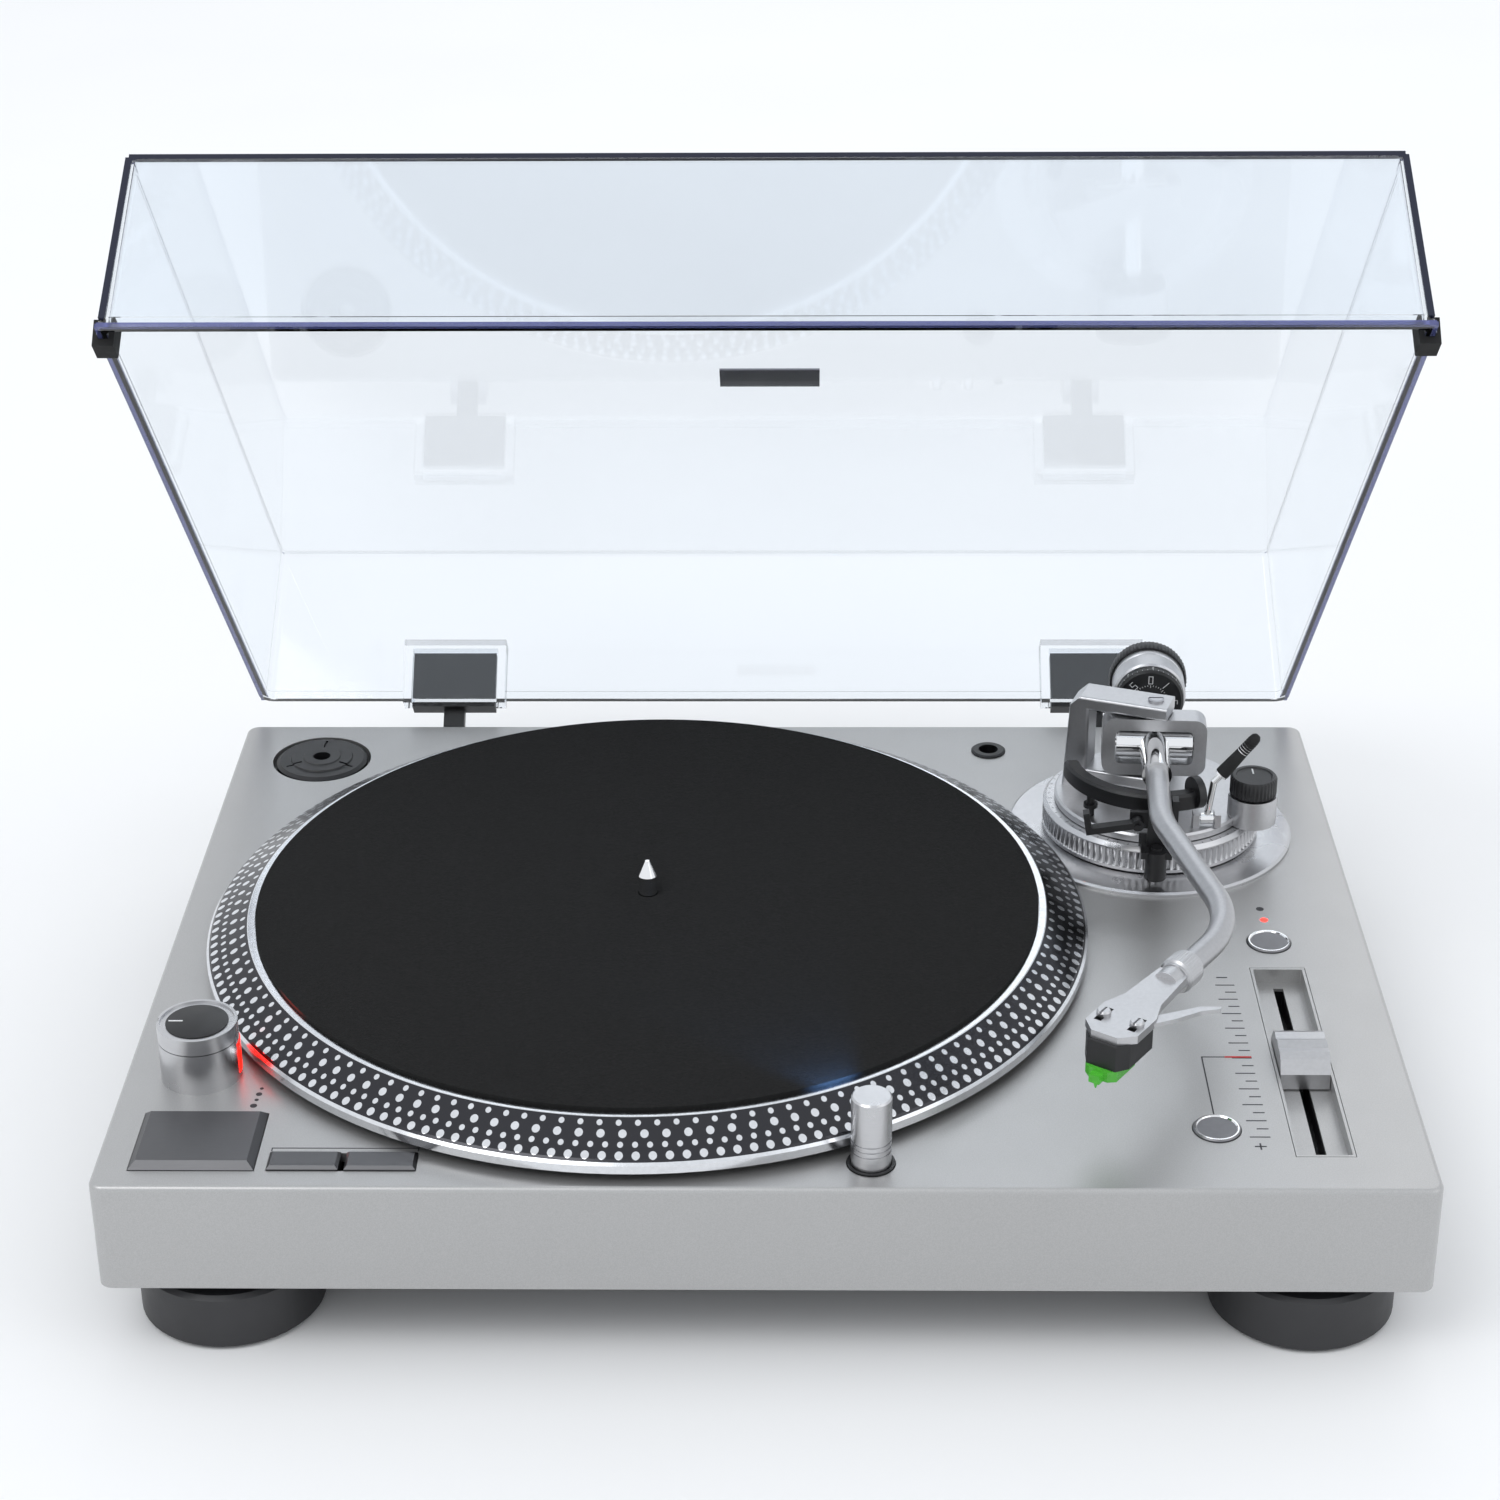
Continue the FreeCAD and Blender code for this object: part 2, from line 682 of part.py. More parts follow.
def bottom_cover():
    gap = 2 * (S.plinth_wall + S.panel_gap)
    plate = rounded_slab(
        "cover_plate",
        S.plinth_width - gap,
        S.plinth_depth - gap,
        S.plinth_corner - S.plinth_wall,
        S.cover_thick,
        (0, MID_Y, FLOOR),
    )
    holes = []
    for i, (x, y) in enumerate(CASE_SCREWS):
        at = (x, y, FLOOR - 1)
        holes.append(rod(f"cover_hole_{i}", S.case_screw_radius + S.free_gap, S.cover_thick + 2, at))
    for i, (x, y) in enumerate(foot_places(S.foot_inset_x, S.foot_inset_y)):
        holes.append(rod(f"stud_hole_{i}", 4 + S.fit_gap, S.cover_thick + 2, (x, y, FLOOR - 1)))
    return carved("bottom_cover", plate, holes)


def case_screws():
    """The four screws that hold the bottom cover, heads under it."""
    shank = S.case_screw_radius
    outline = [(0, 0), (shank * 2, 0), (shank * 2, 2), (shank, 2), (shank, 16), (0, 16)]
    screws = []
    for i, (x, y) in enumerate(CASE_SCREWS):
        screws.append(turned(f"case_screw_{i}", outline, (x, y, FLOOR - 2)))
    return grouped("case_screws", screws)


def feet():
    """Four damped feet: a felt ring, a cup, and a rubber neck with its stud."""
    cup, neck, felt = [], [], []
    edge, height, pad_thick = S.foot_radius, S.foot_height, S.foot_pad_thick
    pad_out, pad_in = edge - 5, edge - 13
    sink = pad_thick - 0.6
    cup_outline = [
        (0, pad_thick),
        (pad_in, pad_thick),
        (pad_out, pad_thick),
        (pad_out, pad_thick - sink),
        (edge - 1, pad_thick - sink),
        (edge, pad_thick - sink + 1),
        (edge, height - 1.5),
        (edge - 1.5, height),
        (0, height),
    ]
    felt_outline = [(pad_in, 0), (pad_out - 0.1, 0), (pad_out - 0.1, pad_thick), (pad_in, pad_thick)]
    neck_outline = [
        (0, height),
        (S.foot_neck_radius, height),
        (S.foot_neck_radius - 1.5, height + S.foot_neck_height / 2),
        (S.foot_neck_radius, FLOOR),
        (4, FLOOR),
        (4, FLOOR + S.cover_thick + 3),
        (0, FLOOR + S.cover_thick + 3),
    ]
    for i, (x, y) in enumerate(foot_places(S.foot_inset_x, S.foot_inset_y)):
        cup.append(turned(f"foot_cup_{i}", cup_outline, (x, y, 0)))
        felt.append(turned(f"foot_felt_{i}", felt_outline, (x, y, 0)))
        neck.append(turned(f"foot_neck_{i}", neck_outline, (x, y, 0)))
    return [grouped("foot_cups", cup), grouped("foot_felts", felt), grouped("foot_necks", neck)]


# ---------------------------------------------------------------------------
# Platter and motor
# ---------------------------------------------------------------------------

WEB_UNDER = S.platter_seat - 3.5
HUB_UNDER = S.platter_lift + 0.5
BORE = S.hub_radius + S.fit_gap
FLANGE = S.bearing_radius + 5
STATOR_HOLE = FLANGE + 3


def platter():
    edge, lift, seat = S.platter_radius, S.platter_lift, S.platter_seat
    rib = S.magnet_radius + 20
    outline = [
        (BORE, HUB_UNDER),
        (14, HUB_UNDER),
        (14, WEB_UNDER),
        (rib, WEB_UNDER),
        (rib, WEB_UNDER - 4),
        (rib + 4, WEB_UNDER - 4),
        (rib + 4, WEB_UNDER),
        (edge - 14, WEB_UNDER),
        (edge - 10, WEB_UNDER - 3),
        (edge - 8, lift),
        (edge - 1, lift),
        (edge, lift + 1),
        (edge, lift + 4),
        (edge - 1.8, lift + 5.7),
        (MAT_SEAT + 2.4, seat + 1),
        (MAT_SEAT, seat + 1),
        (MAT_SEAT, seat),
        (BORE, seat),
    ]
    return turned("platter", outline, SPINDLE)


def slip_mat():
    hole = S.spindle_radius + S.free_gap
    top = S.platter_seat + S.mat_thick
    edge = MAT_SEAT - S.mat_gap
    outline = [(hole, S.platter_seat), (edge, S.platter_seat), (edge, top), (hole, top)]
    return turned("slip_mat", outline, SPINDLE)


def spindle():
    seat, flange = S.platter_seat, HUB_UNDER - 3
    tip = seat + S.mat_thick + S.spindle_reach
    bearing_top = 8 - S.well_depth
    outline = [
        (0, tip),
        (0.8, tip),
        (S.spindle_radius, tip - S.spindle_nose),
        (S.spindle_radius, seat + S.mat_thick),
        (S.spindle_radius - 0.4, seat + S.mat_thick),
        (S.spindle_radius - 0.4, seat),
        (S.hub_radius, seat),
        (S.hub_radius, HUB_UNDER),
        (13, HUB_UNDER),
        (13, flange),
        (S.hub_radius + 1, flange),
        (S.hub_radius + 1, bearing_top + S.free_gap),
        (S.shaft_radius, bearing_top + S.free_gap),
        (S.shaft_radius, bearing_top + 1 - S.bearing_length),
        (0, bearing_top - S.bearing_length),
    ]
    return turned("spindle", outline, SPINDLE)


def spindle_bearing():
    floor = -S.well_depth
    top = floor + 8
    bottom = top - S.bearing_length - 3
    bore = S.shaft_radius + S.fit_gap
    outline = [
        (0, bottom),
        (S.bearing_radius, bottom),
        (S.bearing_radius, floor),
        (FLANGE, floor),
        (FLANGE, floor + 3),
        (S.bearing_radius - 2, floor + 3),
        (S.bearing_radius - 2, top),
        (bore, top),
        (bore, bottom + 2.6),
        (0, bottom + 2.6),
    ]
    return turned("spindle_bearing", outline, SPINDLE)


def magnet_ring():
    outer, inner = S.magnet_radius, S.magnet_radius - S.magnet_wall
    outline = [(inner, HUB_UNDER), (outer, HUB_UNDER), (outer, WEB_UNDER), (inner, WEB_UNDER)]
    return turned("magnet_ring", outline, SPINDLE)


BOARD_TOP = S.board_thick - S.well_depth


def motor_board():
    outer = S.stator_radius + 20
    inner = FLANGE + 1
    outline = [(inner, -S.well_depth), (outer, -S.well_depth)]
    outline += [(outer, BOARD_TOP), (inner, BOARD_TOP)]
    return turned("motor_board", outline, SPINDLE)


POLES = 12


def stator():
    """A ring with poles, and a winding on each pole."""
    x, y, z = SPINDLE
    low = z + BOARD_TOP
    reach = S.stator_radius
    ring_outer, height = STATOR_HOLE + 9, S.stator_height
    ring = [(STATOR_HOLE, 0), (ring_outer, 0), (ring_outer, height), (STATOR_HOLE, height)]
    core = [turned("stator_ring", ring, (x, y, low))]
    coils = []
    for i in range(POLES):
        turn = Rotation(Vector(0, 0, 1), 360 / POLES * i)
        bar_outline = [(ring_outer - 1, -2.5), (reach - 3, -2.5), (reach - 3, -6), (reach, -6)]
        bar_outline += [(reach, 6), (reach - 3, 6), (reach - 3, 2.5), (ring_outer - 1, 2.5)]
        core.append(slab(f"stator_pole_{i}", bar_outline, height - 6, (x, y, low + 3), turn))
        wind_low, wind_high = ring_outer + 1.5, reach - 4
        outer = [(wind_low, -5), (wind_high, -5), (wind_high, 5), (wind_low, 5)]
        inner = [(wind_low - 1, -2.7), (wind_high + 1, -2.7)]
        inner += [(wind_high + 1, 2.7), (wind_low - 1, 2.7)]
        around = slab(f"coil_outer_{i}", outer, height - 1, (x, y, low + 0.5), turn)
        hole = slab(f"coil_inner_{i}", inner, height - 5.6, (x, y, low + 2.8), turn)
        coils.append(carved(f"coil_{i}", around, [hole]))
    return [joined("stator_core", core), grouped("motor_coils", coils)]


# ---------------------------------------------------------------------------
# Controls on the top
# ---------------------------------------------------------------------------


def bevelled_block(label, width, depth, height, bevel, at):
    """A block whose upper edges slope in, on the middle of its bottom face."""
    x, y, z = at
    cap = labelled("Part::Wedge", label + "_cap")
    for prop, size in (
        ("Xmax", width),
        ("Zmax", depth),
        ("Ymax", bevel),
        ("X2min", bevel),
        ("X2max", width - bevel),
        ("Z2min", bevel),
        ("Z2max", depth - bevel),
    ):
        bind(cap, prop, size)
    for prop in ("Xmin", "Ymin", "Zmin"):
        setattr(cap, prop, 0)
    corner = (x - width / 2, y + depth / 2, z + height - bevel)
    place(cap, corner, Rotation(Vector(1, 0, 0), 90))
    return joined(label, [block(label + "_base", width, depth, height - bevel, at), cap])


def strobe_tower():
    """The fixed sleeve of the power switch, with the lens of the strobe lamp."""
    radius, height = S.tower_radius, S.tower_height
    stem = 3 + S.fit_gap
    outline = [(stem, 4), (0, 4), (0, -10), (radius - 4.3, -10), (radius - 4.3, 0)]
    outline += [(radius, 0), (radius, height), (stem, height)]
    turn = Rotation(Vector(0, 0, 1), 20)
    x, y, z = TOWER
    lens_low = z + 2
    gap = S.panel_gap

    def window(label, grow):
        span = 7 + grow
        ends = [(radius - 3.5 - grow, -span), (radius + 3, -span), (radius + 3, span)]
        ends += [(radius - 3.5 - grow, span)]
        return slab(label, ends, height - 4 + 2 * grow, (x, y, lens_low - grow), turn)

    tower = carved("strobe_tower", turned("tower_sleeve", outline, TOWER), [window("lens_seat", gap)])
    face = rod("lens_face", radius + 0.3, height, TOWER)
    lens = kept_inside("strobe_lens", window("lens_blank", 0), face)
    return [tower, lens]


def power_knob():
    radius, height = S.tower_radius, S.knob_height
    low = S.tower_height + S.free_gap
    top = low + height
    outline = [(0, 4 + S.free_gap), (3, 4 + S.free_gap), (3, low), (radius, low)]
    outline += [(radius, top), (radius - 1, top), (radius - 1, top - 0.7), (0, top - 0.7)]
    blank = turned("knob_blank", outline, TOWER)
    x, y, z = TOWER
    notch = block("knob_notch", 1.2, 3, height + 2, (x - radius, y, z + low - 1))
    return carved("power_knob", blank, [notch])


def start_stop_button():
    gap = 2 * S.panel_gap
    height = S.start_proud + 6
    at = lowered(START, 6)
    width, depth = S.start_width - gap, S.start_depth - gap
    return bevelled_block("start_stop_button", width, depth, height, S.start_bevel, at)


def speed_buttons():
    gap = S.panel_gap
    width = (S.speed_width - S.speed_divider) / 2 - gap
    depth = S.speed_depth - 2 * gap
    step = (width + S.speed_divider) / 2
    x, y, z = lowered(SPEED, 5)
    height = S.speed_proud + 5
    left = bevelled_block("speed_33_button", width, depth, height, 1, (x - step, y, z))
    right = bevelled_block("speed_45_button", width, depth, height, 1, (x + step, y, z))
    return [left, right]


def round_button(label, at):
    """A dished round button and the ring round it are one moulding."""
    radius = S.round_radius - S.free_gap
    top = S.round_proud
    outline = [(0, -6), (radius, -6), (radius, top - 0.5), (radius - 0.5, top), (radius - 1, top)]
    outline += [(radius - 1.4, top - 0.4), (0, top - 0.6)]
    return turned(label, outline, at)


def panel_switches():
    """The small switches under the six buttons, on their sub-boards."""
    switches = []
    step = (S.speed_width + S.speed_divider) / 4
    x, y, z = SPEED
    below = S.button_travel + 0.4
    for label, (px, py, pz), reach in (
        ("start", START, 6),
        ("slow", (x - step, y, z), 5),
        ("fast", (x + step, y, z), 5),
        ("tempo", TEMPO, 6),
        ("quartz", QUARTZ, 6),
    ):
        top = pz - reach - below
        cap = rod(f"switch_cap_{label}", 1.7, 2, (px, py, top - 2))
        body = block(f"switch_body_{label}", 6, 6, 3.5, (px, py, top - 5.5))
        switches.append(joined(f"switch_{label}", [cap, body]))
    return grouped("panel_switches", switches)


def pitch_slider():
    """The sunk tray with its slot, the potentiometer under it, and the knob."""
    gap = S.panel_gap
    width, length, depth = S.tray_width - 2 * gap, S.tray_length - 2 * gap, S.tray_depth
    x, y, z = SLIDER
    blank = block("tray_blank", width, length, depth + 1.2, (x, y, z - depth - 1.2))
    sink = rounded_slab("tray_sink", width - 2, length - 2, 2 * gap, depth + 1, (x, y, z - depth))
    slot = block("tray_slot", S.slot_width, S.slot_length, 4, (x, y, z - depth - 2))
    tray = carved("slider_tray", blank, [sink, slot])
    under = z - depth - 1.2
    pot_blank = block("pot_blank", 13, S.slot_length + 10, 9, (x, y, under - 9.5))
    pot_slot = block("pot_slot", S.slot_width, S.slot_length, 7, (x, y, under - 7))
    pot = carved("slider_potentiometer", pot_blank, [pot_slot])
    knob_y = MID_Y + S.slider_mid
    half, long = S.slider_knob_width / 2, S.slider_knob_length
    low, top = 0.5 - depth, S.slider_knob_proud
    outline = [(-long / 2, low), (long / 2, low), (long / 2, 1), (long / 2 - 3, top - 2)]
    outline += [(long / 2 - 6, top - 0.6), (3, top - 1.2), (0, top), (-3, top - 1.2)]
    outline += [(6 - long / 2, top - 0.6), (3 - long / 2, top - 2), (-long / 2, 1)]
    turn = Rotation(Vector(0, 0, 1), 90) * Rotation(Vector(1, 0, 0), 90)
    grip = slab("knob_grip", outline, 2 * half, (x - half, knob_y, z), turn)
    stem = block("knob_stem", S.slot_width - 0.8, 6, depth + 5, (x, knob_y, z - depth - 5.5))
    return [tray, pot, joined("slider_knob", [grip, stem])]


def target_light():
    """The pop-up stylus lamp and the sleeve it slides in."""
    radius, top = S.lamp_radius, S.lamp_proud + S.lamp_travel
    groove = radius - 0.4
    outline = [(0, -9), (radius, -9), (radius, 6)]
    for i in range(3):
        low = 6 + 2 * i
        outline += [(groove, low), (groove, low + 0.5), (radius, low + 0.5), (radius, low + 2)]
    outline += [(radius, top - 0.6), (radius - 0.6, top), (0, top)]
    post = turned("lamp_post", outline, LAMP)
    x, y, z = LAMP
    turn = Rotation(Vector(0, 0, 1), 100)
    slit = [(radius - 2, -3), (radius + 2, -3), (radius + 2, 3), (radius - 2, 3)]
    mouth = slab("lamp_mouth", slit, 5, (x, y, z + top - 8), turn)
    lamp = carved("target_light", post, [mouth])
    inner, outer = radius + S.free_gap, LAMP_SLEEVE
    ring = [(inner, -6), (outer, -6), (outer, 0.6), (inner, 0.6)]
    return [lamp, turned("lamp_sleeve", ring, LAMP)]


def adapter_45():
    """The large-hole record adapter, resting in its well."""
    radius, height = S.adapter_radius, S.adapter_height
    bore = S.spindle_radius + 0.05
    low = -S.adapter_sink
    top = low + height
    outline = [
        (bore, low),
        (radius - 1, low),
        (radius, low + 1),
        (radius, top - 2),
        (radius - 1.5, top - 1),
        (radius - 6, top - 1),
        (radius - 6.4, top - 0.4),
        (8, top - 0.4),
        (7.6, top),
        (bore, top),
    ]
    blank = turned("adapter_blank", outline, ADAPTER)
    x, y, z = ADAPTER
    grooves = []
    for i in range(3):
        turn = Rotation(Vector(0, 0, 1), 90 + 120 * i)
        ends = [(9, -0.5), (16, -0.5), (16, 0.5), (9, 0.5)]
        grooves.append(slab(f"adapter_groove_{i}", ends, 3, (x, y, z + top - 1.6), turn))
    return carved("adapter_45", blank, grooves)


def headshell_socket():
    flange, depth = S.socket_radius, S.socket_depth
    outline = [
        (0, -depth - 1),
        (flange - 1.5, -depth - 1),
        (flange - 1.5, 0),
        (flange, 0),
        (flange, 0.5),
        (flange - 0.8, 1),
        (S.socket_bore, 1),
        (S.socket_bore, 1 - depth),
        (0, 1 - depth),
    ]
    return turned("headshell_socket", outline, SOCKET)


# ---------------------------------------------------------------------------
# Tonearm base: what stays on the plinth, and what rises with the height ring
# ---------------------------------------------------------------------------

DECK_TOP = DECK + S.deck_thick
REST = Rotation(Vector(0, 0, 1), number(S.rest_turn))


def from_pivot(x, y, z=0):
    px, py, pz = PIVOT
    return (px + x, py + y, pz + z)


def on_arm(x, y, z=0):
    """A point given in the arm's own frame, with the arm along -Y."""
    swing_x = x * cosine(S.rest_turn) - y * sine(S.rest_turn)
    swing_y = x * sine(S.rest_turn) + y * cosine(S.rest_turn)
    return from_pivot(swing_x, swing_y, z)


def arm_base_disc():
    """The fixed disc, with the sleeve that guides the column."""
    bore, outer, thick = S.column_radius + S.fit_gap, S.arm_base_radius, S.arm_base_thick
    sleeve = S.column_radius + 3.5
    outline = [(bore, -18), (sleeve, -18), (sleeve, 0), (outer, 0), (outer, thick - 1)]
    outline += [(outer - 1, thick - 0.3), (outer - 10, thick), (bore, thick)]
    return turned("arm_base_disc", outline, PIVOT)


def height_ring():
    low = S.arm_base_thick + S.free_gap
    top = low + S.ring_height
    radius, bore = S.ring_radius, S.column_radius + S.free_gap
    outline = [(bore, low), (radius - 1, low), (radius, low + 1), (radius, top - 1.5)]
    outline += [(radius - 1.5, top), (bore, top)]
    return turned("height_ring", outline, PIVOT)


def arm_deck():
    """The deck on its column, with the anti-skate pillar and the lever's bracket."""
    radius = S.deck_radius
    outline = [(0, -20), (S.column_radius, -20), (S.column_radius, DECK), (radius, DECK)]
    outline += [(radius, DECK_TOP - 0.8), (radius - 0.8, DECK_TOP), (0, DECK_TOP)]
    body = turned("deck_disc", outline, PIVOT)
    pillar = from_pivot(
        S.pillar_reach * cosine(S.pillar_turn), S.pillar_reach * sine(S.pillar_turn), DECK
    )
    height = S.deck_thick + S.pillar_height
    post = rod("pillar_post", S.pillar_radius, height, pillar)
    ears = []
    for i, side in enumerate((-1, 1)):
        at = from_pivot(S.lever_x + side * 4.2, S.lever_y, DECK_TOP)
        ears.append(block(f"lever_ear_{i}", 2.4, 5, S.lever_rise + 2.5, at))
    solid = joined("deck_solid", [body, post] + ears)
    x, y, z = pillar
    pin = from_pivot(S.lever_x - 8, S.lever_y, DECK_TOP + S.lever_rise)
    cuts = [
        rod("skate_bore", 2 + S.fit_gap, 9, (x, y, z + height - 8)),
        rod("lever_bore", 1 + S.fit_gap, 16, pin, "x"),
        rod("stem_bore", S.lift_stem_radius + S.fit_gap, 8, on_lift_stem(DECK - 1)),
        rod("wire_bore", 4, 60, from_pivot(-12, 6, -21)),
        placed_block("rest_notch", 12.6, 10, 10, on_arm(0, -S.rest_seat - 5, DECK - 1), REST),
    ]
    return carved("arm_deck", solid, cuts)


def anti_skate_knob():
    place_x = S.pillar_reach * cosine(S.pillar_turn)
    place_y = S.pillar_reach * sine(S.pillar_turn)
    low = DECK_TOP + S.pillar_height + S.free_gap
    top = low + S.skate_height
    radius = S.skate_radius
    outline = [(0, low - 7), (2, low - 7), (2, low), (radius - 0.6, low), (radius, low + 0.6)]
    outline += [(radius, top - 1), (radius - 1, top), (radius - 2, top), (radius - 2.3, top - 0.4)]
    outline += [(0, top - 0.4)]
    return turned("anti_skate_knob", outline, from_pivot(place_x, place_y))


def yoke():
    """The C-shaped yoke that carries the arm's upright pivots."""
    reach, bar, arm = S.yoke_reach, S.yoke_bar, S.yoke_arm
    low = S.arm_axis - GIMBAL_HEIGHT / 2 - 1 - arm
    inner_low, inner_high = low + arm, S.arm_axis + GIMBAL_HEIGHT / 2 + 0.8
    top = inner_high + arm
    outline = [
        (-reach - 2, DECK_TOP),
        (bar - reach + 1, DECK_TOP),
        (bar - reach + 1, low),
        (5, low),
        (5, inner_low),
        (bar - reach, inner_low),
        (bar - reach, inner_high),
        (6, inner_high),
        (6, top),
        (4.5 - reach, top),
        (-reach, top - 4.5),
    ]
    half = S.yoke_width / 2
    x, y, z = from_pivot(half * sine(S.yoke_turn) * -1, half * cosine(S.yoke_turn))
    turn = Rotation(Vector(0, 0, 1), number(S.yoke_turn)) * Rotation(Vector(1, 0, 0), 90)
    frame = slab("yoke_frame", outline, S.yoke_width, (x, y, z), turn)
    frame = softened("yoke_soft", frame, 1.2, is_sideways)
    bore = rod("yoke_bore", S.pin_radius + S.fit_gap, 60, from_pivot(0, 0, DECK_TOP + 1))
    screws = []
    pin = S.pin_radius
    head = 3.2
    into_ring = top - inner_high + 3.5
    outline = [(0, top - into_ring), (pin, top - into_ring), (pin, top), (head, top)]
    outline += [(head, top + 0.8), (head - 0.6, top + 1.2), (0, top + 1.2)]
    upper = turned("yoke_screw_upper", outline, PIVOT)
    slot = block("yoke_screw_slot", 8, 0.9, 1, from_pivot(0, 0, top + 0.6))
    screws.append(carved("yoke_screw_cut", upper, [slot]))
    outline = [(0, low - 1.2), (head, low - 1.2), (head, low), (pin, low)]
    outline += [(pin, inner_low + 3.5), (0, inner_low + 3.5)]
    screws.append(turned("yoke_screw_lower", outline, PIVOT))
    return [carved("yoke", frame, [bore]), grouped("yoke_screws", screws)]


def is_sideways(middle, edge):
    """The long outer edges of the yoke's two flat sides."""
    return edge.Length > 20


def arm_rest():
    """The post and saddle that hold the arm, with the pin of its clip."""
    reach, seat = S.rest_reach, S.rest_seat
    saddle = S.arm_axis - S.tube_radius - S.rest_gap
    jaw = S.tube_radius + 1
    long = reach + 8 - seat
    tongue_at = on_arm(0, -seat - long / 2, DECK)
    tongue = placed_block("rest_tongue", 12, long, S.deck_thick - 0.4, tongue_at, REST)
    outline = [
        (-3.5, DECK + 2),
        (3.5, DECK + 2),
        (3.5, saddle - 5),
        (jaw + 2.4, saddle - 5),
        (jaw + 2.4, saddle + 4),
        (jaw, saddle + 4),
        (jaw, saddle - 1),
        (3.5, saddle),
        (-3.5, saddle),
    ]
    face = REST * Rotation(Vector(1, 0, 0), 90)
    post = slab("rest_post", outline, 5, on_arm(0, 2.5 - reach), face)
    ear_at = on_arm(-4.5, 1.4 - reach, saddle - 9.5)
    ear = placed_block("rest_ear", 12, 2, 7, ear_at, REST)
    pin = rod("rest_pin", 1, 6.5, on_arm(-7.5, 0.8 - reach, saddle - 6))
    pin.Placement.Rotation = REST * ALONG["-y"]
    boss = rod("rest_boss", 4.2, 12, on_arm(0, -reach - 5.6, DECK - 9))
    screw = rod("rest_screw", 2.2, 2, on_arm(0, -reach - 5.6, DECK + 2.4))
    rest = joined("arm_rest", [tongue, post, ear, pin, boss, screw])
    rest.Refine = False
    return rest


def placed_block(label, width, depth, height, at, turn):
    """A block about the middle of its bottom face, turned about the upright through it."""
    outline = [(-width / 2, -depth / 2), (width / 2, -depth / 2)]
    outline += [(width / 2, depth / 2), (-width / 2, depth / 2)]
    return slab(label, outline, height, at, turn)


def arm_clip():
    """The swing-over clip of the arm rest, lying open."""
    saddle = S.arm_axis - S.tube_radius - S.rest_gap
    long = 2 * S.tube_radius + S.rest_gap + 7.2
    outline = [(-1.3, 0), (1.3, 0), (1.3, long), (8, long), (8, long + 2.4), (-1.3, long + 2.4)]
    # the plate grows away from the pivot, so it starts at its side nearest the pivot
    start = on_arm(-7.5, -S.rest_reach - 0.4, saddle - 6)
    lean = REST * Rotation(Vector(0, 1, 0), -number(S.clip_turn))
    arm = slab("clip_arm", outline, S.clip_width, start, lean * Rotation(Vector(1, 0, 0), 90))
    eye = rod("clip_eye", 2.4, S.clip_width, start)
    eye.Placement.Rotation = REST * ALONG["-y"]
    bore = rod("clip_bore", 1 + S.fit_gap, 20, on_arm(-7.5, -S.rest_reach + 8, saddle - 6))
    bore.Placement.Rotation = REST * ALONG["-y"]
    return carved("arm_clip", joined("clip_blank", [arm, eye]), [bore])


def on_lift_stem(z):
    """A point on the lift bar's guide stem, at a height above the plinth's top."""
    turn = S.lift_stem_turn
    return from_pivot(S.lift_radius * cosine(turn), S.lift_radius * sine(turn), z)


def lift_bar():
    """The curved bar under the arm, on its guide stem."""
    middle, half = S.lift_radius, S.lift_width / 2
    top = S.arm_axis - S.tube_radius - S.lift_gap
    low = top - S.lift_height
    outline = [(middle - half, low), (middle + half, low), (middle + half, top - 1)]
    outline += [(middle + half - 1, top), (middle - half + 1, top), (middle - half, top - 1)]
    body = turned("lift_arc", outline, PIVOT, Rotation(Vector(0, 0, 1), number(S.lift_start)))
    body.Tip.setExpression("Angle", S.lift_sweep.text)
    stem_low = DECK + 0.5
    stem = rod("lift_stem", S.lift_stem_radius, low + 1 - stem_low, on_lift_stem(stem_low))
    collar = rod("lift_collar", 2.8, 1.6, on_lift_stem(DECK_TOP + 3.5))
    end = S.lift_start + S.lift_sweep
    stop_at = from_pivot(middle * cosine(end), middle * sine(end), top - 1)
    stop = rod("lift_stop", 6.4, 3, stop_at)
    stop.Placement.Rotation = Rotation(Vector(0, 0, 1), number(end) + 90) * ALONG["x"]
    return joined("lift_bar", [body, stem, collar, stop])


def cue_lever():
    """The cue lever: a cross pin in the deck's ears, a bent rod and a grip."""
    x, y, z = from_pivot(S.lever_x, S.lever_y, DECK_TOP + S.lever_rise)
    pin = rod("lever_pin", 1, 10.4, (x - 5.2, y, z), "x")
    eye = rod("lever_eye", 2.3, 4.8, (x - 2.4, y, z), "x")
    stem = rod("lever_stem", S.lever_radius, S.lever_stem, (x, y, z))
    stem.Placement.Rotation = Rotation(Vector(0, 1, 0), 7)
    bend_x = x + S.lever_stem * math.sin(math.radians(7))
    bend_z = z + S.lever_stem * math.cos(math.radians(7))
    elbow = ball("lever_elbow", S.lever_radius, (bend_x, y, bend_z))
    lean = Rotation(Vector(0, 1, 0), 38)
    link = rod("lever_link", S.lever_radius, 6, (bend_x, y, bend_z))
    link.Placement.Rotation = lean
    grip_x = bend_x + 4 * math.sin(math.radians(38))
    grip_z = bend_z + 4 * math.cos(math.radians(38))
    grip = taper("lever_grip", 2.6, 2, S.handle_length - 2, (grip_x, y, grip_z))
    grip.Placement.Rotation = lean
    tip_x = grip_x + (S.handle_length - 2) * math.sin(math.radians(38))
    tip_z = grip_z + (S.handle_length - 2) * math.cos(math.radians(38))
    tip = ball("lever_tip", 2, (tip_x, y, tip_z))
    return joined("cue_lever", [pin, eye, stem, elbow, link, grip, tip])


# ---------------------------------------------------------------------------
# Tonearm
# ---------------------------------------------------------------------------

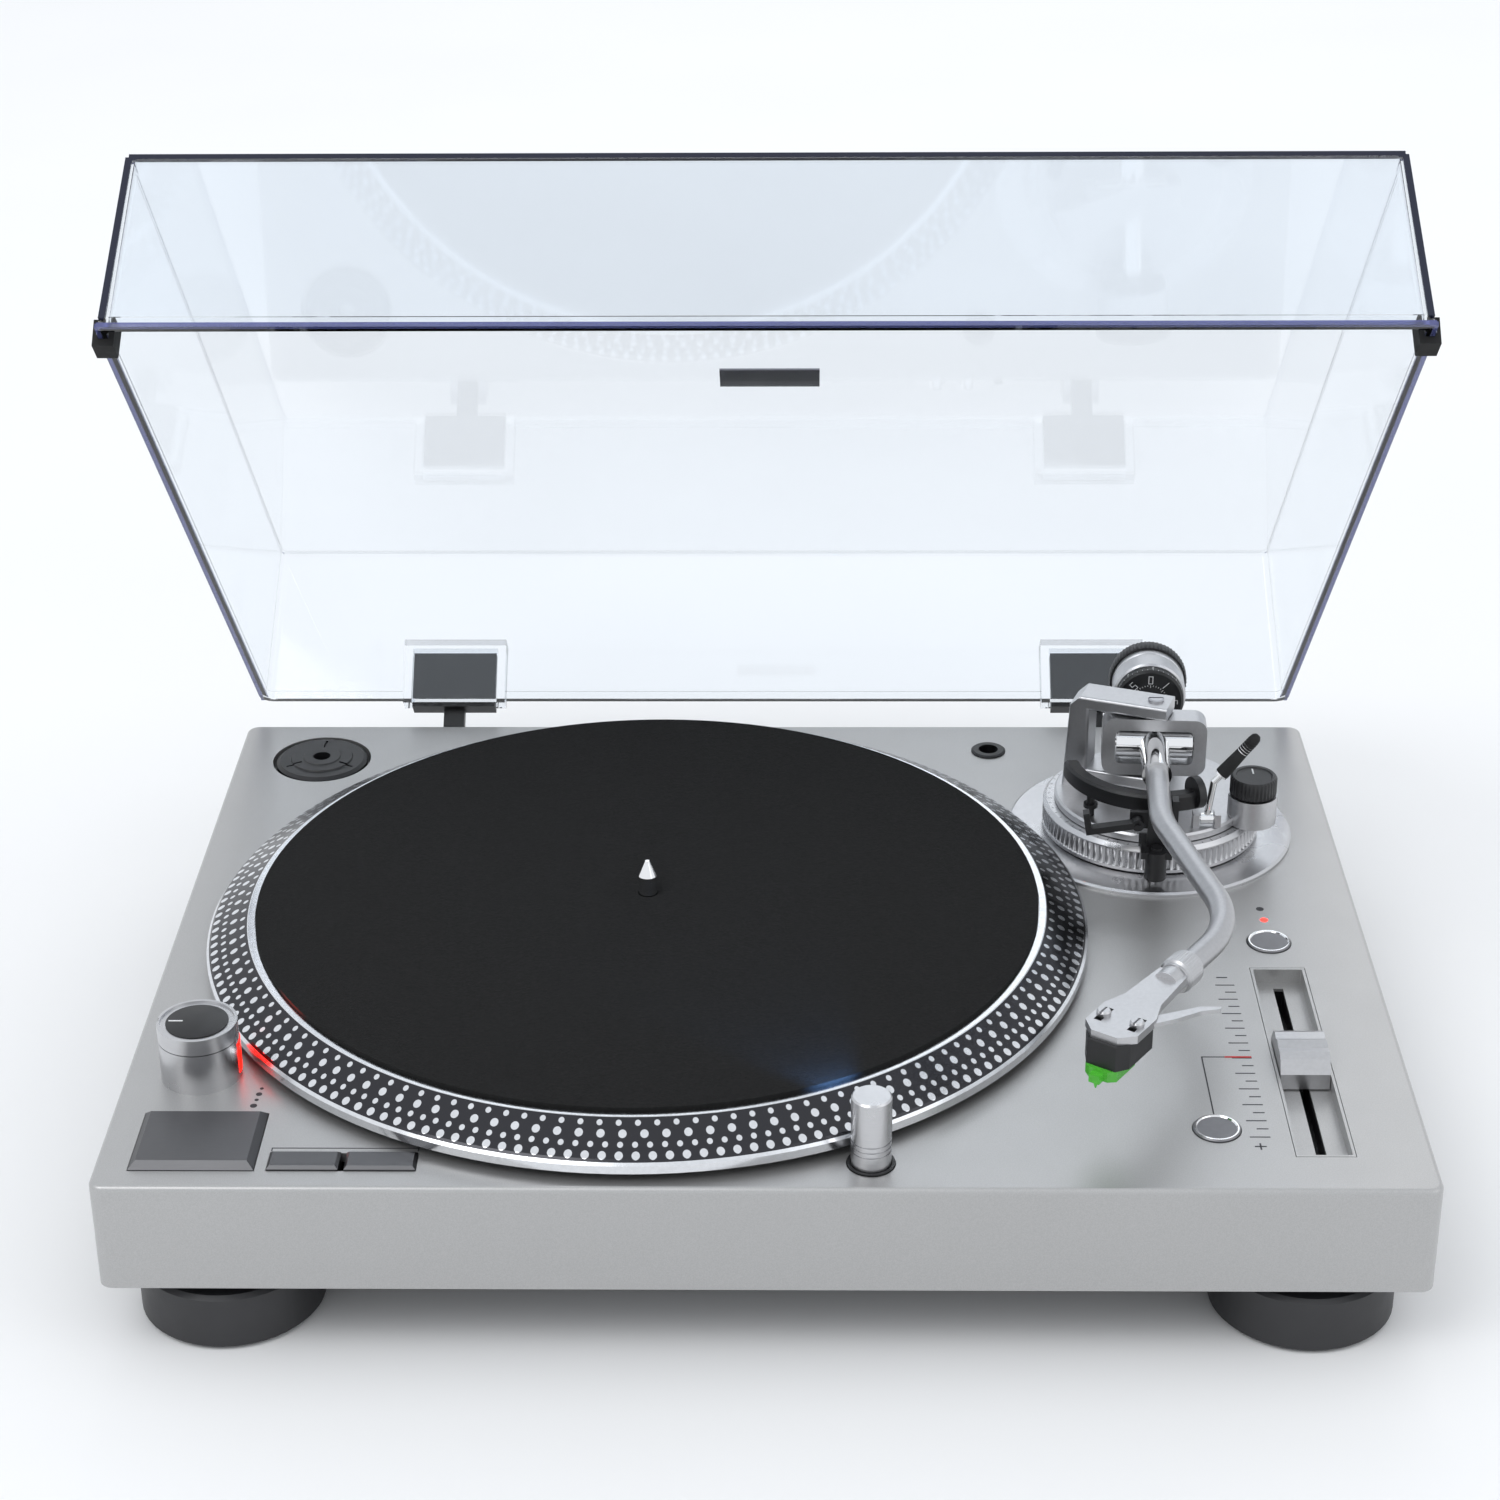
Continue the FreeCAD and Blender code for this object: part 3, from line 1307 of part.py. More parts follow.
BACKWARDS = REST * ALONG["y"]
SHELL = Rotation(Vector(0, 0, 1), number(S.rest_turn + S.shell_turn))


def gimbal_ring():
    """The ring that swings on the upright pivots."""
    bar, depth = S.gimbal_bar, S.gimbal_depth
    face = REST * Rotation(Vector(1, 0, 0), 90)
    front = on_arm(0, depth / 2, S.arm_axis)
    width, height, corner = S.gimbal_width, GIMBAL_HEIGHT, S.gimbal_corner
    outer = rounded_slab("ring_outer", width, height, corner, depth, front, face)
    past = on_arm(0, depth / 2 + 1, S.arm_axis)
    room = (width - 2 * bar, height - 2 * bar, corner / 2, depth + 2)
    inner = rounded_slab("ring_inner", *room, past, face)
    hole = S.pin_radius + S.fit_gap
    upright = rod("ring_upright", hole, height + 2, on_arm(0, 0, S.arm_axis - height / 2 - 1))
    across = rod("ring_across", hole, width + 2, on_arm(-width / 2 - 1, 0, S.arm_axis))
    across.Placement.Rotation = REST * ALONG["x"]
    return carved("gimbal_ring", outer, [inner, upright, across])


def arm_barrel():
    """The bearing barrel across the ring, with the arm's socket and its rear stub."""
    inside = S.gimbal_width / 2 - S.gimbal_bar
    level = S.arm_axis
    forwards = REST * ALONG["-y"]
    barrel = rod("barrel", S.barrel_radius, 2 * inside - 1, on_arm(0.5 - inside, 0, level))
    pins_at = on_arm(1 - S.gimbal_width / 2, 0, level)
    pins = rod("barrel_pins", S.pin_radius, S.gimbal_width - 2, pins_at)
    for piece in (barrel, pins):
        piece.Placement.Rotation = REST * ALONG["x"]
    mouth = S.tube_radius + 1
    socket = taper("barrel_socket", S.barrel_radius, mouth, BARREL_END - 3.5, on_arm(0, -2, level))
    collar = rod("barrel_collar", mouth + 0.3, 2, on_arm(0, 2 - BARREL_END, level))
    stub_long = S.weight_start + S.weight_length + 8
    stub = rod("rear_stub", S.stub_radius, stub_long, on_arm(0, 2, level))
    socket.Placement.Rotation = forwards
    collar.Placement.Rotation = forwards
    stub.Placement.Rotation = BACKWARDS
    return joined("arm_barrel", [barrel, pins, socket, collar, stub])


def rounded_path(points, radii):
    """Straight runs joined by tangent arcs, one radius for each inner point."""
    edges = []
    start = points[0]
    for before, corner, after, radius in zip(points, points[1:], points[2:], radii):
        back = (before - corner).normalize()
        onward = (after - corner).normalize()
        half_angle = back.getAngle(onward) / 2
        reach = radius / math.tan(half_angle)
        into, out_of = corner + back * reach, corner + onward * reach
        centre = corner + (back + onward).normalize() * (radius / math.sin(half_angle))
        middle = centre + (corner - centre).normalize() * radius
        edges.append(Part.LineSegment(start, into).toShape())
        edges.append(Part.Arc(into, middle, out_of).toShape())
        start = out_of
    edges.append(Part.LineSegment(start, points[-1]).toShape())
    return Part.Wire(edges)


def arm_tube():
    """The S-shaped tube, drawn in the arm's frame and swept from a ring."""
    start = Vector(0, -number(BARREL_END), 0)
    points = [
        start,
        Vector(0, -number(S.first_bend), 0),
        Vector(number(S.bend_offset), -number(S.second_bend), 0),
        Vector(number(S.nut_offset), -number(S.nut_start), 0),
    ]
    path = rounded_path(points, [number(S.first_bend_radius), number(S.second_bend_radius)])

    def swept(radius):
        ring = Part.Wire([Part.Circle(start, Vector(0, 1, 0), radius).toShape()])
        return path.makePipeShell([ring], True, False)

    outer = number(S.tube_radius)
    tube = labelled("Part::Feature", "arm_tube")
    tube.Shape = swept(outer).cut(swept(outer - number(S.tube_wall)))
    return place(tube, on_arm(0, 0, S.arm_axis), REST)


def on_shell(x, y, z=0):
    """A point given from the headshell nut, with the headshell along -Y."""
    turn = S.shell_turn
    arm_x = S.nut_offset + x * cosine(turn) - y * sine(turn)
    arm_y = -S.nut_start + x * sine(turn) + y * cosine(turn)
    return on_arm(arm_x, arm_y, S.arm_axis + z)


def headshell_nut():
    radius, length = S.nut_radius, S.nut_length
    outline = [(0, 0.1), (radius - 1.2, 0.1), (radius - 1.2, 2), (radius, 2), (radius, length - 2)]
    outline += [(radius - 0.8, length - 1.2), (radius - 0.8, length), (0, length)]
    return turned("headshell_nut", outline, on_shell(0, 0), SHELL * ALONG["-y"])


PLATE_LOW = 0


def headshell():
    """The plate, its neck, the finger lift, and the two slots for screws."""
    start, end = S.nut_length, S.nut_length + S.shell_length
    neck, half, thick = S.shell_neck, S.shell_half, S.shell_thick
    outline = [
        (-neck, -start),
        (-neck - 1.5, -start - 22),
        (-half, -start - 31),
        (-half, -end + 5),
        (5 - half, -end),
        (half - 5, -end),
        (half, -end + 5),
        (half, -start - 31),
        (neck + 1.5, -start - 22),
        (neck, -start),
    ]
    plate = slab("shell_plate", outline, thick, on_shell(0, 0, PLATE_LOW), SHELL)
    lift_outline = [
        (half - 3, -start - 29),
        (half + 2, -start - 22),
        (half + 7.5, -start - 14),
        (half + 13.5, -start - 10),
        (half + 14, -start - 11.5),
        (half + 9.2, -start - 16.5),
        (half + 5, -start - 25),
        (half - 1, -start - 34),
    ]
    lift = slab("finger_lift", lift_outline, 1.6, on_shell(0, 0, PLATE_LOW + 0.4), SHELL)
    rear = rod("shell_plug", S.shell_neck - 0.4, 6, on_shell(0, -start, 0.2))
    rear.Placement.Rotation = SHELL * ALONG["-y"]
    solid = joined("shell_solid", [plate, lift, rear])
    end_hole = -end + 11
    slots, screws = [], []
    top = PLATE_LOW + thick
    for i, side in enumerate((-1, 1)):
        at = on_shell(side * 6.35, end_hole, PLATE_LOW - 1)
        slots.append(placed_block(f"shell_slot_{i}", 2.8, 9, thick + 2, at, SHELL))
        outline = [(0, top - 7), (1.25, top - 7), (1.25, top - 0.2), (2.5, top - 0.2)]
        outline += [(2.5, top + 1.2), (2, top + 1.8), (0, top + 1.8)]
        blank = turned(f"shell_screw_{i}", outline, on_shell(side * 6.35, end_hole))
        at = on_shell(side * 6.35, end_hole, top + 0.9)
        kerf = placed_block(f"shell_screw_slot_{i}", 0.8, 6, 2, at, SHELL)
        screws.append(carved(f"shell_screw_cut_{i}", blank, [kerf]))
    return joined("headshell", [carved("shell_slotted", solid, slots)] + screws)


def cartridge():
    """The pickup body under the headshell and its stylus assembly."""
    end = S.nut_length + S.shell_length
    low = PLATE_LOW - 9.5
    outline = [(-8.5, -end + 19), (-8.5, -end + 3), (-5.5, -end - 1.5), (5.5, -end - 1.5)]
    outline += [(8.5, -end + 3), (8.5, -end + 19)]
    block_body = slab("pickup_block", outline, 9.5, on_shell(0, 0, low), SHELL)
    holes = []
    for i, side in enumerate((-1, 1)):
        at = on_shell(side * 6.35, -end + 11, PLATE_LOW - 5)
        holes.append(rod(f"pickup_hole_{i}", 1.25 + S.free_gap, 6, at))
    body = carved("cartridge", block_body, holes)
    under = low - 4
    shape = [(-6, -end + 12), (-6, -end - 1), (-3.5, -end - 3), (3.5, -end - 3)]
    shape += [(6, -end - 1), (6, -end + 12)]
    green = slab("stylus_block", shape, 4, on_shell(0, 0, under), SHELL)
    reach = S.stylus_reach
    tip_low = -S.stylus_drop
    cone = taper("stylus_tip", 0.25, 1.2, under - tip_low + 0.5, on_shell(0, -reach, tip_low))
    front = placed_block("stylus_nose", 4, 6, 3, on_shell(0, -reach + 1.5, under), SHELL)
    return [body, joined("stylus", [green, front, cone])]


def counterweight():
    """The weight with its knurled end, and the force dial in front of it."""
    start, bore = S.weight_start, S.stub_radius + S.free_gap
    at = on_arm(0, 0, S.arm_axis)
    dial_end = start + S.dial_thick
    outline = [(bore, start), (S.dial_radius - 1, start), (S.dial_radius, start + 1)]
    outline += [(S.dial_radius, dial_end), (bore, dial_end)]
    dial = turned("force_dial", outline, at, BACKWARDS)
    weight_low = dial_end + S.free_gap
    grip_low = weight_low + S.weight_length
    end = grip_low + S.weight_grip_length
    outline = [
        (bore, weight_low),
        (S.weight_radius - 0.6, weight_low),
        (S.weight_radius, weight_low + 0.6),
        (S.weight_radius, grip_low),
        (S.weight_grip_radius, grip_low),
        (S.weight_grip_radius, end - 1),
        (S.weight_grip_radius - 1, end),
        (bore, end),
    ]
    return [dial, turned("counterweight", outline, at, BACKWARDS)]


# ---------------------------------------------------------------------------
# Dust cover and hinges, drawn shut about the hinge axis and then opened
# ---------------------------------------------------------------------------

OPENED = Rotation(Vector(1, 0, 0), -number(S.lid_open))
RIM = S.hinge_drop + S.lid_gap
LID_WIDTH = S.plinth_width - 2 * S.lid_side_in
LID_DEPTH = S.plinth_depth + S.lid_front_over - S.lid_back_in
RIM_BACK = -(S.hinge_back + S.lid_back_in)
LID_MID = RIM_BACK - LID_DEPTH / 2
LEAF_MID = RIM_BACK - S.lid_lip + S.pocket_depth / 2


def on_lid(x, y, z):
    """A point of the shut cover, from the hinge axis, carried to where it is when open."""
    angle = S.lid_open
    hx, hy, hz = HINGE
    opened_y = hy + y * cosine(angle) + z * sine(angle)
    opened_z = hz + z * cosine(angle) - y * sine(angle)
    return (hx + x, opened_y, opened_z)


def lid_block(label, width, depth, height, x, y, z):
    """A block of the shut cover, on the middle of its bottom face."""
    return placed_block(label, width, depth, height, on_lid(x, y, z), OPENED)


def lid_loft(label, low_inset, high_inset, low, high):
    """A drafted block of the cover, between two heights above its rim."""
    body = new_body(label)
    sections = []
    for name, inset, level in (("rim", low_inset, low), ("top", high_inset, high)):
        share = level / S.lid_height
        side = LID_WIDTH / 2 - inset - S.lid_side_draft * share
        front = LID_MID - LID_DEPTH / 2 + inset + S.lid_front_draft * share
        back = RIM_BACK - inset - S.lid_back_draft * share
        sketch = new_sketch(body, f"{label}_{name}", "XY_Plane", RIM + level)
        draw_rounded(sketch, (-side, front), (side, back), S.lid_corner - inset)
        sections.append(sketch)
    loft = body.newObject("PartDesign::AdditiveLoft", label + "_loft")
    loft.Profile = sections[0]
    loft.Sections = [sections[1]]
    loft.Ruled = True
    body.Tip = loft
    return body


def lid():
    """The clear cover: walls, top, rim band and the two moulded hinge pockets."""
    wall, lip, height = S.lid_wall, S.lid_lip, S.lid_height
    edge = S.lid_edge
    outer = [
        lid_loft("lid_outer", lip, lip, ZERO, height - edge),
        lid_loft("lid_shoulder", lip, lip + edge * 0.3, height - edge, height - edge * 0.3),
        lid_loft("lid_brow", lip + edge * 0.3, lip + edge, height - edge * 0.3, height),
    ]
    band = lid_loft("lid_band", ZERO, ZERO, ZERO, S.lid_lip_height)
    inner = lid_loft("lid_inner", lip + wall, lip + wall, -S.lid_lip_height, height - wall)
    pockets, sockets = [], []
    outside = (S.pocket_width, S.pocket_depth + 4, S.pocket_height)
    room = (S.leaf_width + 1, S.leaf_thick + 0.8, S.pocket_height - 2.5)
    for i, side in enumerate((-1, 1)):
        x = side * S.hinge_x
        pockets.append(block(f"pocket_{i}", *outside, (x, LEAF_MID - 2, RIM)))
        sockets.append(block(f"pocket_room_{i}", *room, (x, LEAF_MID, RIM - 1)))
    solid = carved("lid_hollow", joined("lid_solid", outer + [band] + pockets), [inner] + sockets)
    copy = labelled("Part::Compound", "lid")
    copy.Links = [solid]
    return place(copy, on_lid(0, 0, 0), OPENED)


def hinges():
    """For each hinge: a leaf in the cover's pocket, and a bracket with its pin on the plinth."""
    leaves, brackets = [], []
    knuckle, width, bore = S.knuckle_radius, S.knuckle_width, S.hinge_pin_radius + S.fit_gap
    ear, thick, wide = S.bracket_ear, S.leaf_thick, S.leaf_width
    neck_y = S.bracket_plate + S.leaf_gap - S.hinge_back + thick / 2
    hy, hz = HINGE[1:]
    for i, side in enumerate((-1, 1)):
        x = side * S.hinge_x
        high = S.pocket_height - 5
        plate = lid_block(f"leaf_plate_{i}", wide, thick, high, x, LEAF_MID, RIM - 0.6)
        foot = lid_block(f"leaf_foot_{i}", wide, thick + 3, 1.8, x, LEAF_MID, RIM - 2.4)
        neck = lid_block(f"leaf_neck_{i}", width, thick, RIM - 2, x, neck_y, 0.5)
        boss = rod(f"leaf_boss_{i}", knuckle, width, (x - width / 2, hy, hz), "x")
        hole = rod(f"leaf_hole_{i}", bore, width + 2, (x - width / 2 - 1, hy, hz), "x")
        leaf = joined(f"leaf_solid_{i}", [plate, foot, neck, boss])
        leaves.append(carved(f"leaf_{i}", leaf, [hole]))
        long = width + 2 * ear + 2 * S.free_gap
        pin = rod(f"hinge_pin_{i}", S.hinge_pin_radius, long, (x - long / 2, hy, hz), "x")
        plate_at = (x, BACK + S.bracket_plate / 2, hz - 15)
        back_plate = block(f"bracket_plate_{i}", long + 12, S.bracket_plate, 26, plate_at)
        cheeks = []
        for j, end in enumerate((-1, 1)):
            offset = end * (width / 2 + S.free_gap + ear / 2)
            reach = hy - BACK + knuckle - 1
            cheek_at = (x + offset, BACK + reach / 2, hz - 11)
            cheeks.append(block(f"cheek_{i}_{j}", ear, reach, knuckle + 10, cheek_at))
        holes = []
        for j, end in enumerate((-1, 1)):
            at = (x + end * (long / 2 + 3.2), BACK - 1, hz - 2)
            holes.append(rod(f"bracket_hole_{i}_{j}", 1.7, 5, at, "y"))
        solid = joined(f"bracket_solid_{i}", [back_plate, pin] + cheeks)
        brackets.append(carved(f"bracket_{i}", solid, holes))
    return [grouped("hinge_leaves", leaves), grouped("hinge_brackets", brackets)]


def lid_trim():
    """The rubber clips on the side rims, and the plain plate on the top."""
    lean = S.lid_side_draft / S.lid_height
    outside = LID_WIDTH / 2 + 0.1
    inside = LID_WIDTH / 2 - S.lid_lip - S.lid_wall - 0.1
    low, rim, high = RIM - S.lid_gap + 0.2, RIM - 0.1, RIM + S.bumper_height
    leant_out = outside - lean * S.bumper_height
    leant_in = inside - lean * S.bumper_height
    bumper_back = S.lid_corner + S.bumper_back + S.bumper_length
    bumper_at = on_lid(0, LID_MID - LID_DEPTH / 2 + bumper_back, 0)
    bumpers = []
    for i, side in enumerate((-1, 1)):
        outline = [
            (side * (outside + 1.8), low),
            (side * (outside + 1.8), high),
            (side * leant_out, high),
            (side * outside, rim),
            (side * inside, rim),
            (side * leant_in, high),
            (side * (leant_in - 1.8), high),
            (side * (inside - 1.8), low),
        ]
        turn = OPENED * Rotation(Vector(1, 0, 0), 90)
        bumpers.append(slab(f"bumper_{i}", outline, S.bumper_length, bumper_at, turn))
    top = RIM + S.lid_height
    badge = lid_block("lid_badge", S.badge_width, S.badge_depth, 0.8, 0, LID_MID, top)
    return [grouped("lid_bumpers", bumpers), badge]


# ---------------------------------------------------------------------------
# Electronics and the back panel
# ---------------------------------------------------------------------------


def rear_panel():
    """The panel with its earth post, the two phono sockets and the output switch."""
    gap = 2 * S.panel_gap
    width, height, thick = S.panel_width - gap, S.panel_height - gap, S.panel_thick
    face = BACK - 0.4
    level = PANEL_Z + S.panel_height / 2
    plate_at = (S.panel_x, face - thick / 2, PANEL_Z + S.panel_gap)
    plate = block("panel_plate", width, thick, height, plate_at)
    holes, sockets = [], []
    for i in range(2):
        x = S.panel_x + 38 - i * S.rca_pitch
        holes.append(rod(f"rca_hole_{i}", S.rca_radius + 0.1, 6, (x, face - thick - 1, level), "y"))
        long = S.rca_length + thick + 1
        sleeve = rod(f"rca_sleeve_{i}", S.rca_radius, long, (x, face - thick - 1, level), "y")
        body = block(f"rca_body_{i}", 11, 8, 12, (x, face - thick - 4.2, level - 6))
        collar = rod(f"rca_collar_{i}", 5.6, 1.2, (x, face + 0.1, level), "y")
        bore = rod(f"rca_bore_{i}", 1.7, 9, (x, face + S.rca_length - 8, level), "y")
        sockets.append(carved(f"rca_{i}", joined(f"rca_solid_{i}", [sleeve, body, collar]), [bore]))
    switch_x = S.panel_x - 38
    holes.append(block("switch_hole", 9, 8, 5, (switch_x, face - 1, level - 2.5)))
    lever = block("switch_lever", 4, 6, 4.4, (switch_x - 2, face - 1.5, level - 2.2))
    slide = block("switch_slide", 14, 1.5, 9, (switch_x - 2, face - thick - 1.05, level - 4.5))
    earth_at = (S.panel_x + 52, face - thick - 3, level)
    stud = rod("earth_stud", 2, thick + 10, earth_at, "y")
    nut = rod("earth_nut", 4.5, 5, (S.panel_x + 52, face - 0.5, level), "y")
    panel = joined("rear_panel", [carved("panel_cut_plate", plate, holes), stud, nut])
    return [panel, grouped("rca_sockets", sockets), joined("preamp_switch", [lever, slide])]


def mains_inlet():
    width, height = S.inlet_width - 2 * S.panel_gap, S.inlet_height - 2 * S.panel_gap
    level = FLOOR + S.plinth_height / 2
    depth = 18
    middle = BACK + 0.6 - depth / 2
    x = S.inlet_x
    body = block("inlet_body", width, depth, height, (x, middle, level - height / 2))
    room = block("inlet_room", width - 5, 13, height - 5, (x, BACK + 1 - 6.5, level - height / 2 + 2.5))
    shell = carved("inlet_shell", body, [room])
    pins = [
        rod(f"inlet_pin_{i}", 1.2, 9, (x + side * 4.2, BACK - 12.6, level), "y")
        for i, side in enumerate((-1, 1))
    ]
    return joined("mains_inlet", [shell] + pins)


def transformer():
    """A laminated core with its two bobbins, standing on the bottom cover."""
    width, depth, height = S.transformer_width, S.transformer_depth, S.transformer_height - 4
    x, y = S.transformer_x, MID_Y + S.transformer_y
    core = block("core_blank", width - 16, depth, height, (x, y, INSIDE))
    windows = [
        block(f"core_window_{i}", 10, depth - 20, height + 2, (x + side * 14, y, INSIDE - 1))
        for i, side in enumerate((-1, 1))
    ]
    core = carved("transformer_core", core, windows)
    limb = 18
    coil = block("coil_blank", limb + 2 * 8.6, depth - 20.6, height - 1, (x, y, INSIDE + 0.5))
    limb_room = block("coil_limb", limb + 0.4, depth, height + 2, (x, y, INSIDE - 1))
    coil = carved("transformer_coil", coil, [limb_room])
    return grouped("transformer", [core, coil])


def circuit_boards():
    """The main board on its posts, with its largest components, and the arm's terminal board."""
    x, y, z = S.board_x, MID_Y + S.board_y, INSIDE + S.board_rise
    across, back = S.board_width / 2 - 6, S.board_depth / 2 - 5
    board = block("board_plate", S.board_width, S.board_depth, S.board_thick, (x, y, z))
    posts = [
        rod(f"board_post_{i}", 3, S.board_rise, (x + sx * across, y + sy * back, INSIDE))
        for i, (sx, sy) in enumerate(((-1, -1), (-1, 1), (1, -1), (1, 1)))
    ]
    top = z + S.board_thick
    caps = [rod(f"capacitor_{i}", 5, 12, (x - 70 + 14 * i, y + 4, top)) for i in range(4)]
    chip = block("motor_driver", 16, 12, 3, (x + 20, y, top))
    sink = block("heat_sink", 30, 6, 13, (x + 62, y - 8, top))
    return joined("main_board", [board] + posts + caps + [chip, sink])


# ---------------------------------------------------------------------------
# Build, check and write
# ---------------------------------------------------------------------------


def build():
    """Make every sub-part, cover before the pieces that clip to it."""
    singles = [
        top_case, bottom_cover, case_screws, platter, slip_mat, spindle, spindle_bearing,
        magnet_ring, motor_board, power_knob, start_stop_button, panel_switches, adapter_45,
        headshell_socket, arm_base_disc, height_ring, arm_deck, anti_skate_knob, arm_rest,
        arm_clip, lift_bar, cue_lever, gimbal_ring, arm_barrel, arm_tube, headshell_nut,
        headshell, lid, mains_inlet, circuit_boards, transformer,
    ]
    for make in singles:
        part(make())
    part(round_button("tempo_button", TEMPO))
    part(round_button("quartz_button", QUARTZ))
    several = [
        feet, stator, strobe_tower, speed_buttons, pitch_slider, target_light, yoke, cartridge,
        counterweight, hinges, lid_trim, rear_panel,
    ]
    for make in several:
        for item in make():
            part(item)


def check():
    """Stop if any object failed to compute, or any sub-part is empty or broken."""
    doc.recompute()
    for item in doc.Objects:
        if "Invalid" in item.State or "Error" in item.State:
            raise RuntimeError(f"{item.Label} did not compute: {item.State}")
    for item in SUB_PARTS:
        shape = item.Shape
        if shape.isNull() or not shape.isValid() or not shape.Solids:
            raise RuntimeError(f"{item.Label} has no valid solid")


def write():
    for item in SUB_PARTS:
        item.Shape.exportStep(f"parts/{item.Label}.step")


build()
check()
write()
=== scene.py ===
import json
import math

import bmesh
import bpy
from mathutils import Matrix, Vector


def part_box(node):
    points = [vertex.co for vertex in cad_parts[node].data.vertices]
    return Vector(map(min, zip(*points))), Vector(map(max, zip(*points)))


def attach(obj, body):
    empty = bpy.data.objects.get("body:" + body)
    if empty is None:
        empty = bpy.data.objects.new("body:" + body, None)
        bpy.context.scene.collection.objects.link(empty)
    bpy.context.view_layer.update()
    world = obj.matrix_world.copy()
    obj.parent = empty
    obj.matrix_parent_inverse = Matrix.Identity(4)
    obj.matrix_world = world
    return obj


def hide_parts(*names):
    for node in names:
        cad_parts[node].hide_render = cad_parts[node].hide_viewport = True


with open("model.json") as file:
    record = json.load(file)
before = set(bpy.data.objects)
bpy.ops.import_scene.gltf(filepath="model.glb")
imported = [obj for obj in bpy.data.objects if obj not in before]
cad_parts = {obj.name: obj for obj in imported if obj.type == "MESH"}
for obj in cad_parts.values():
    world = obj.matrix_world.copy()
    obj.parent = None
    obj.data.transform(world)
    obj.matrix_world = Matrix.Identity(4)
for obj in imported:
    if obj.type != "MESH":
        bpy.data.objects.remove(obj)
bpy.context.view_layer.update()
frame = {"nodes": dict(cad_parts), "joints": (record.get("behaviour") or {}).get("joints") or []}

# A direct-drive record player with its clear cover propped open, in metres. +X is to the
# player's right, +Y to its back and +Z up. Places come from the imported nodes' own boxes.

MM = 0.001

# ---------------------------------------------------------------------------
# Places read from the frame
# ---------------------------------------------------------------------------


def middle(node):
    low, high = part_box(node)
    return (low + high) / 2


def joint_named(name):
    return next(j for j in frame["joints"] if j["name"] == name)


case_low, case_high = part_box("top_case")
TOP = case_high.z
CASE = (case_low + case_high) / 2
MAT = middle("slip_mat")
SPINDLE = Vector((MAT.x, MAT.y, 0))
PIVOT = Vector(joint_named("arm_swing")["pos_m"])
HINGE = Vector(joint_named("dust_cover_open")["pos_m"])
ARM_Y = Vector(joint_named("counterweight_turn")["axis"])
ARM_X = Vector((ARM_Y.y, -ARM_Y.x, 0))


def on_plinth(x, y, z=0.0):
    """A point given in millimetres from the plinth's centre and its top face."""
    return Vector((CASE.x + x * MM, CASE.y + y * MM, TOP + z * MM))


def on_arm(x, y, z=0.0):
    """A point in millimetres in the arm's frame, from the pivot, with the arm along -Y."""
    return PIVOT + ARM_X * (x * MM) + ARM_Y * (y * MM) + Vector((0, 0, z * MM))


# ---------------------------------------------------------------------------
# Materials
# ---------------------------------------------------------------------------


class Nodes:
    """A material's node tree with the few helpers that the finishes below share."""

    def __init__(self, name):
        self.material = bpy.data.materials.new(name)
        self.material.use_nodes = True
        self.tree = self.material.node_tree
        self.shader = self.tree.nodes["Principled BSDF"]

    def add(self, kind, **values):
        node = self.tree.nodes.new(kind)
        for key, value in values.items():
            if key in node.inputs:
                node.inputs[key].default_value = value
            else:
                setattr(node, key, value)
        return node

    def link(self, source, target):
        self.tree.links.new(source, target)

    def set(self, **values):
        for key, value in values.items():
            name = key.replace("_", " ")
            if isinstance(value, tuple) and len(value) == 3:
                value = (*value, 1)
            self.shader.inputs[name].default_value = value
        return self

    def coordinates(self, stretch=(1, 1, 1)):
        place = self.add("ShaderNodeTexCoord")
        mapping = self.add("ShaderNodeMapping")
        mapping.inputs["Scale"].default_value = stretch
        self.link(place.outputs["Object"], mapping.inputs["Vector"])
        return mapping.outputs["Vector"]

    def noise(self, scale, detail=4, roughness=0.55, stretch=(1, 1, 1)):
        node = self.add("ShaderNodeTexNoise", Scale=scale, Detail=detail, Roughness=roughness)
        self.link(self.coordinates(stretch), node.inputs["Vector"])
        return node.outputs["Fac"]

    def ramp(self, source, *stops):
        node = self.add("ShaderNodeValToRGB")
        elements = node.color_ramp.elements
        while len(elements) < len(stops):
            elements.new(0.5)
        for element, (position, value) in zip(elements, stops):
            element.position = position
            element.color = (*value, 1) if isinstance(value, tuple) else (value, value, value, 1)
        self.link(source, node.inputs["Fac"])
        return node.outputs["Color"]

    def bump(self, height, strength=0.2, distance=0.0002):
        node = self.add("ShaderNodeBump", Strength=strength, Distance=distance)
        self.link(height, node.inputs["Height"])
        self.link(node.outputs["Normal"], self.shader.inputs["Normal"])
        return self

    def colour(self, source):
        self.link(source, self.shader.inputs["Base Color"])
        return self

    def rough(self, source):
        self.link(source, self.shader.inputs["Roughness"])
        return self


def tones(colour, spread):
    """A darker and a lighter colour on either side of one."""
    low = tuple(max(0.0, c * (1 - spread)) for c in colour)
    high = tuple(min(1.0, c * (1 + spread)) for c in colour)
    return low, high


def speckled_metal():
    """Silver metallic paint: fine flakes in a satin lacquer."""
    made = Nodes("silver_paint").set(Metallic=0.75, Coat_Weight=0.25, Coat_Roughness=0.25)
    low, high = tones((0.44, 0.438, 0.435), 0.06)
    made.colour(made.ramp(made.noise(2600, 2), (0.35, low), (0.65, high)))
    made.rough(made.ramp(made.noise(60, 5), (0.2, 0.36), (0.8, 0.42)))
    return made.bump(made.noise(1800, 3), 0.05, 0.0001).material


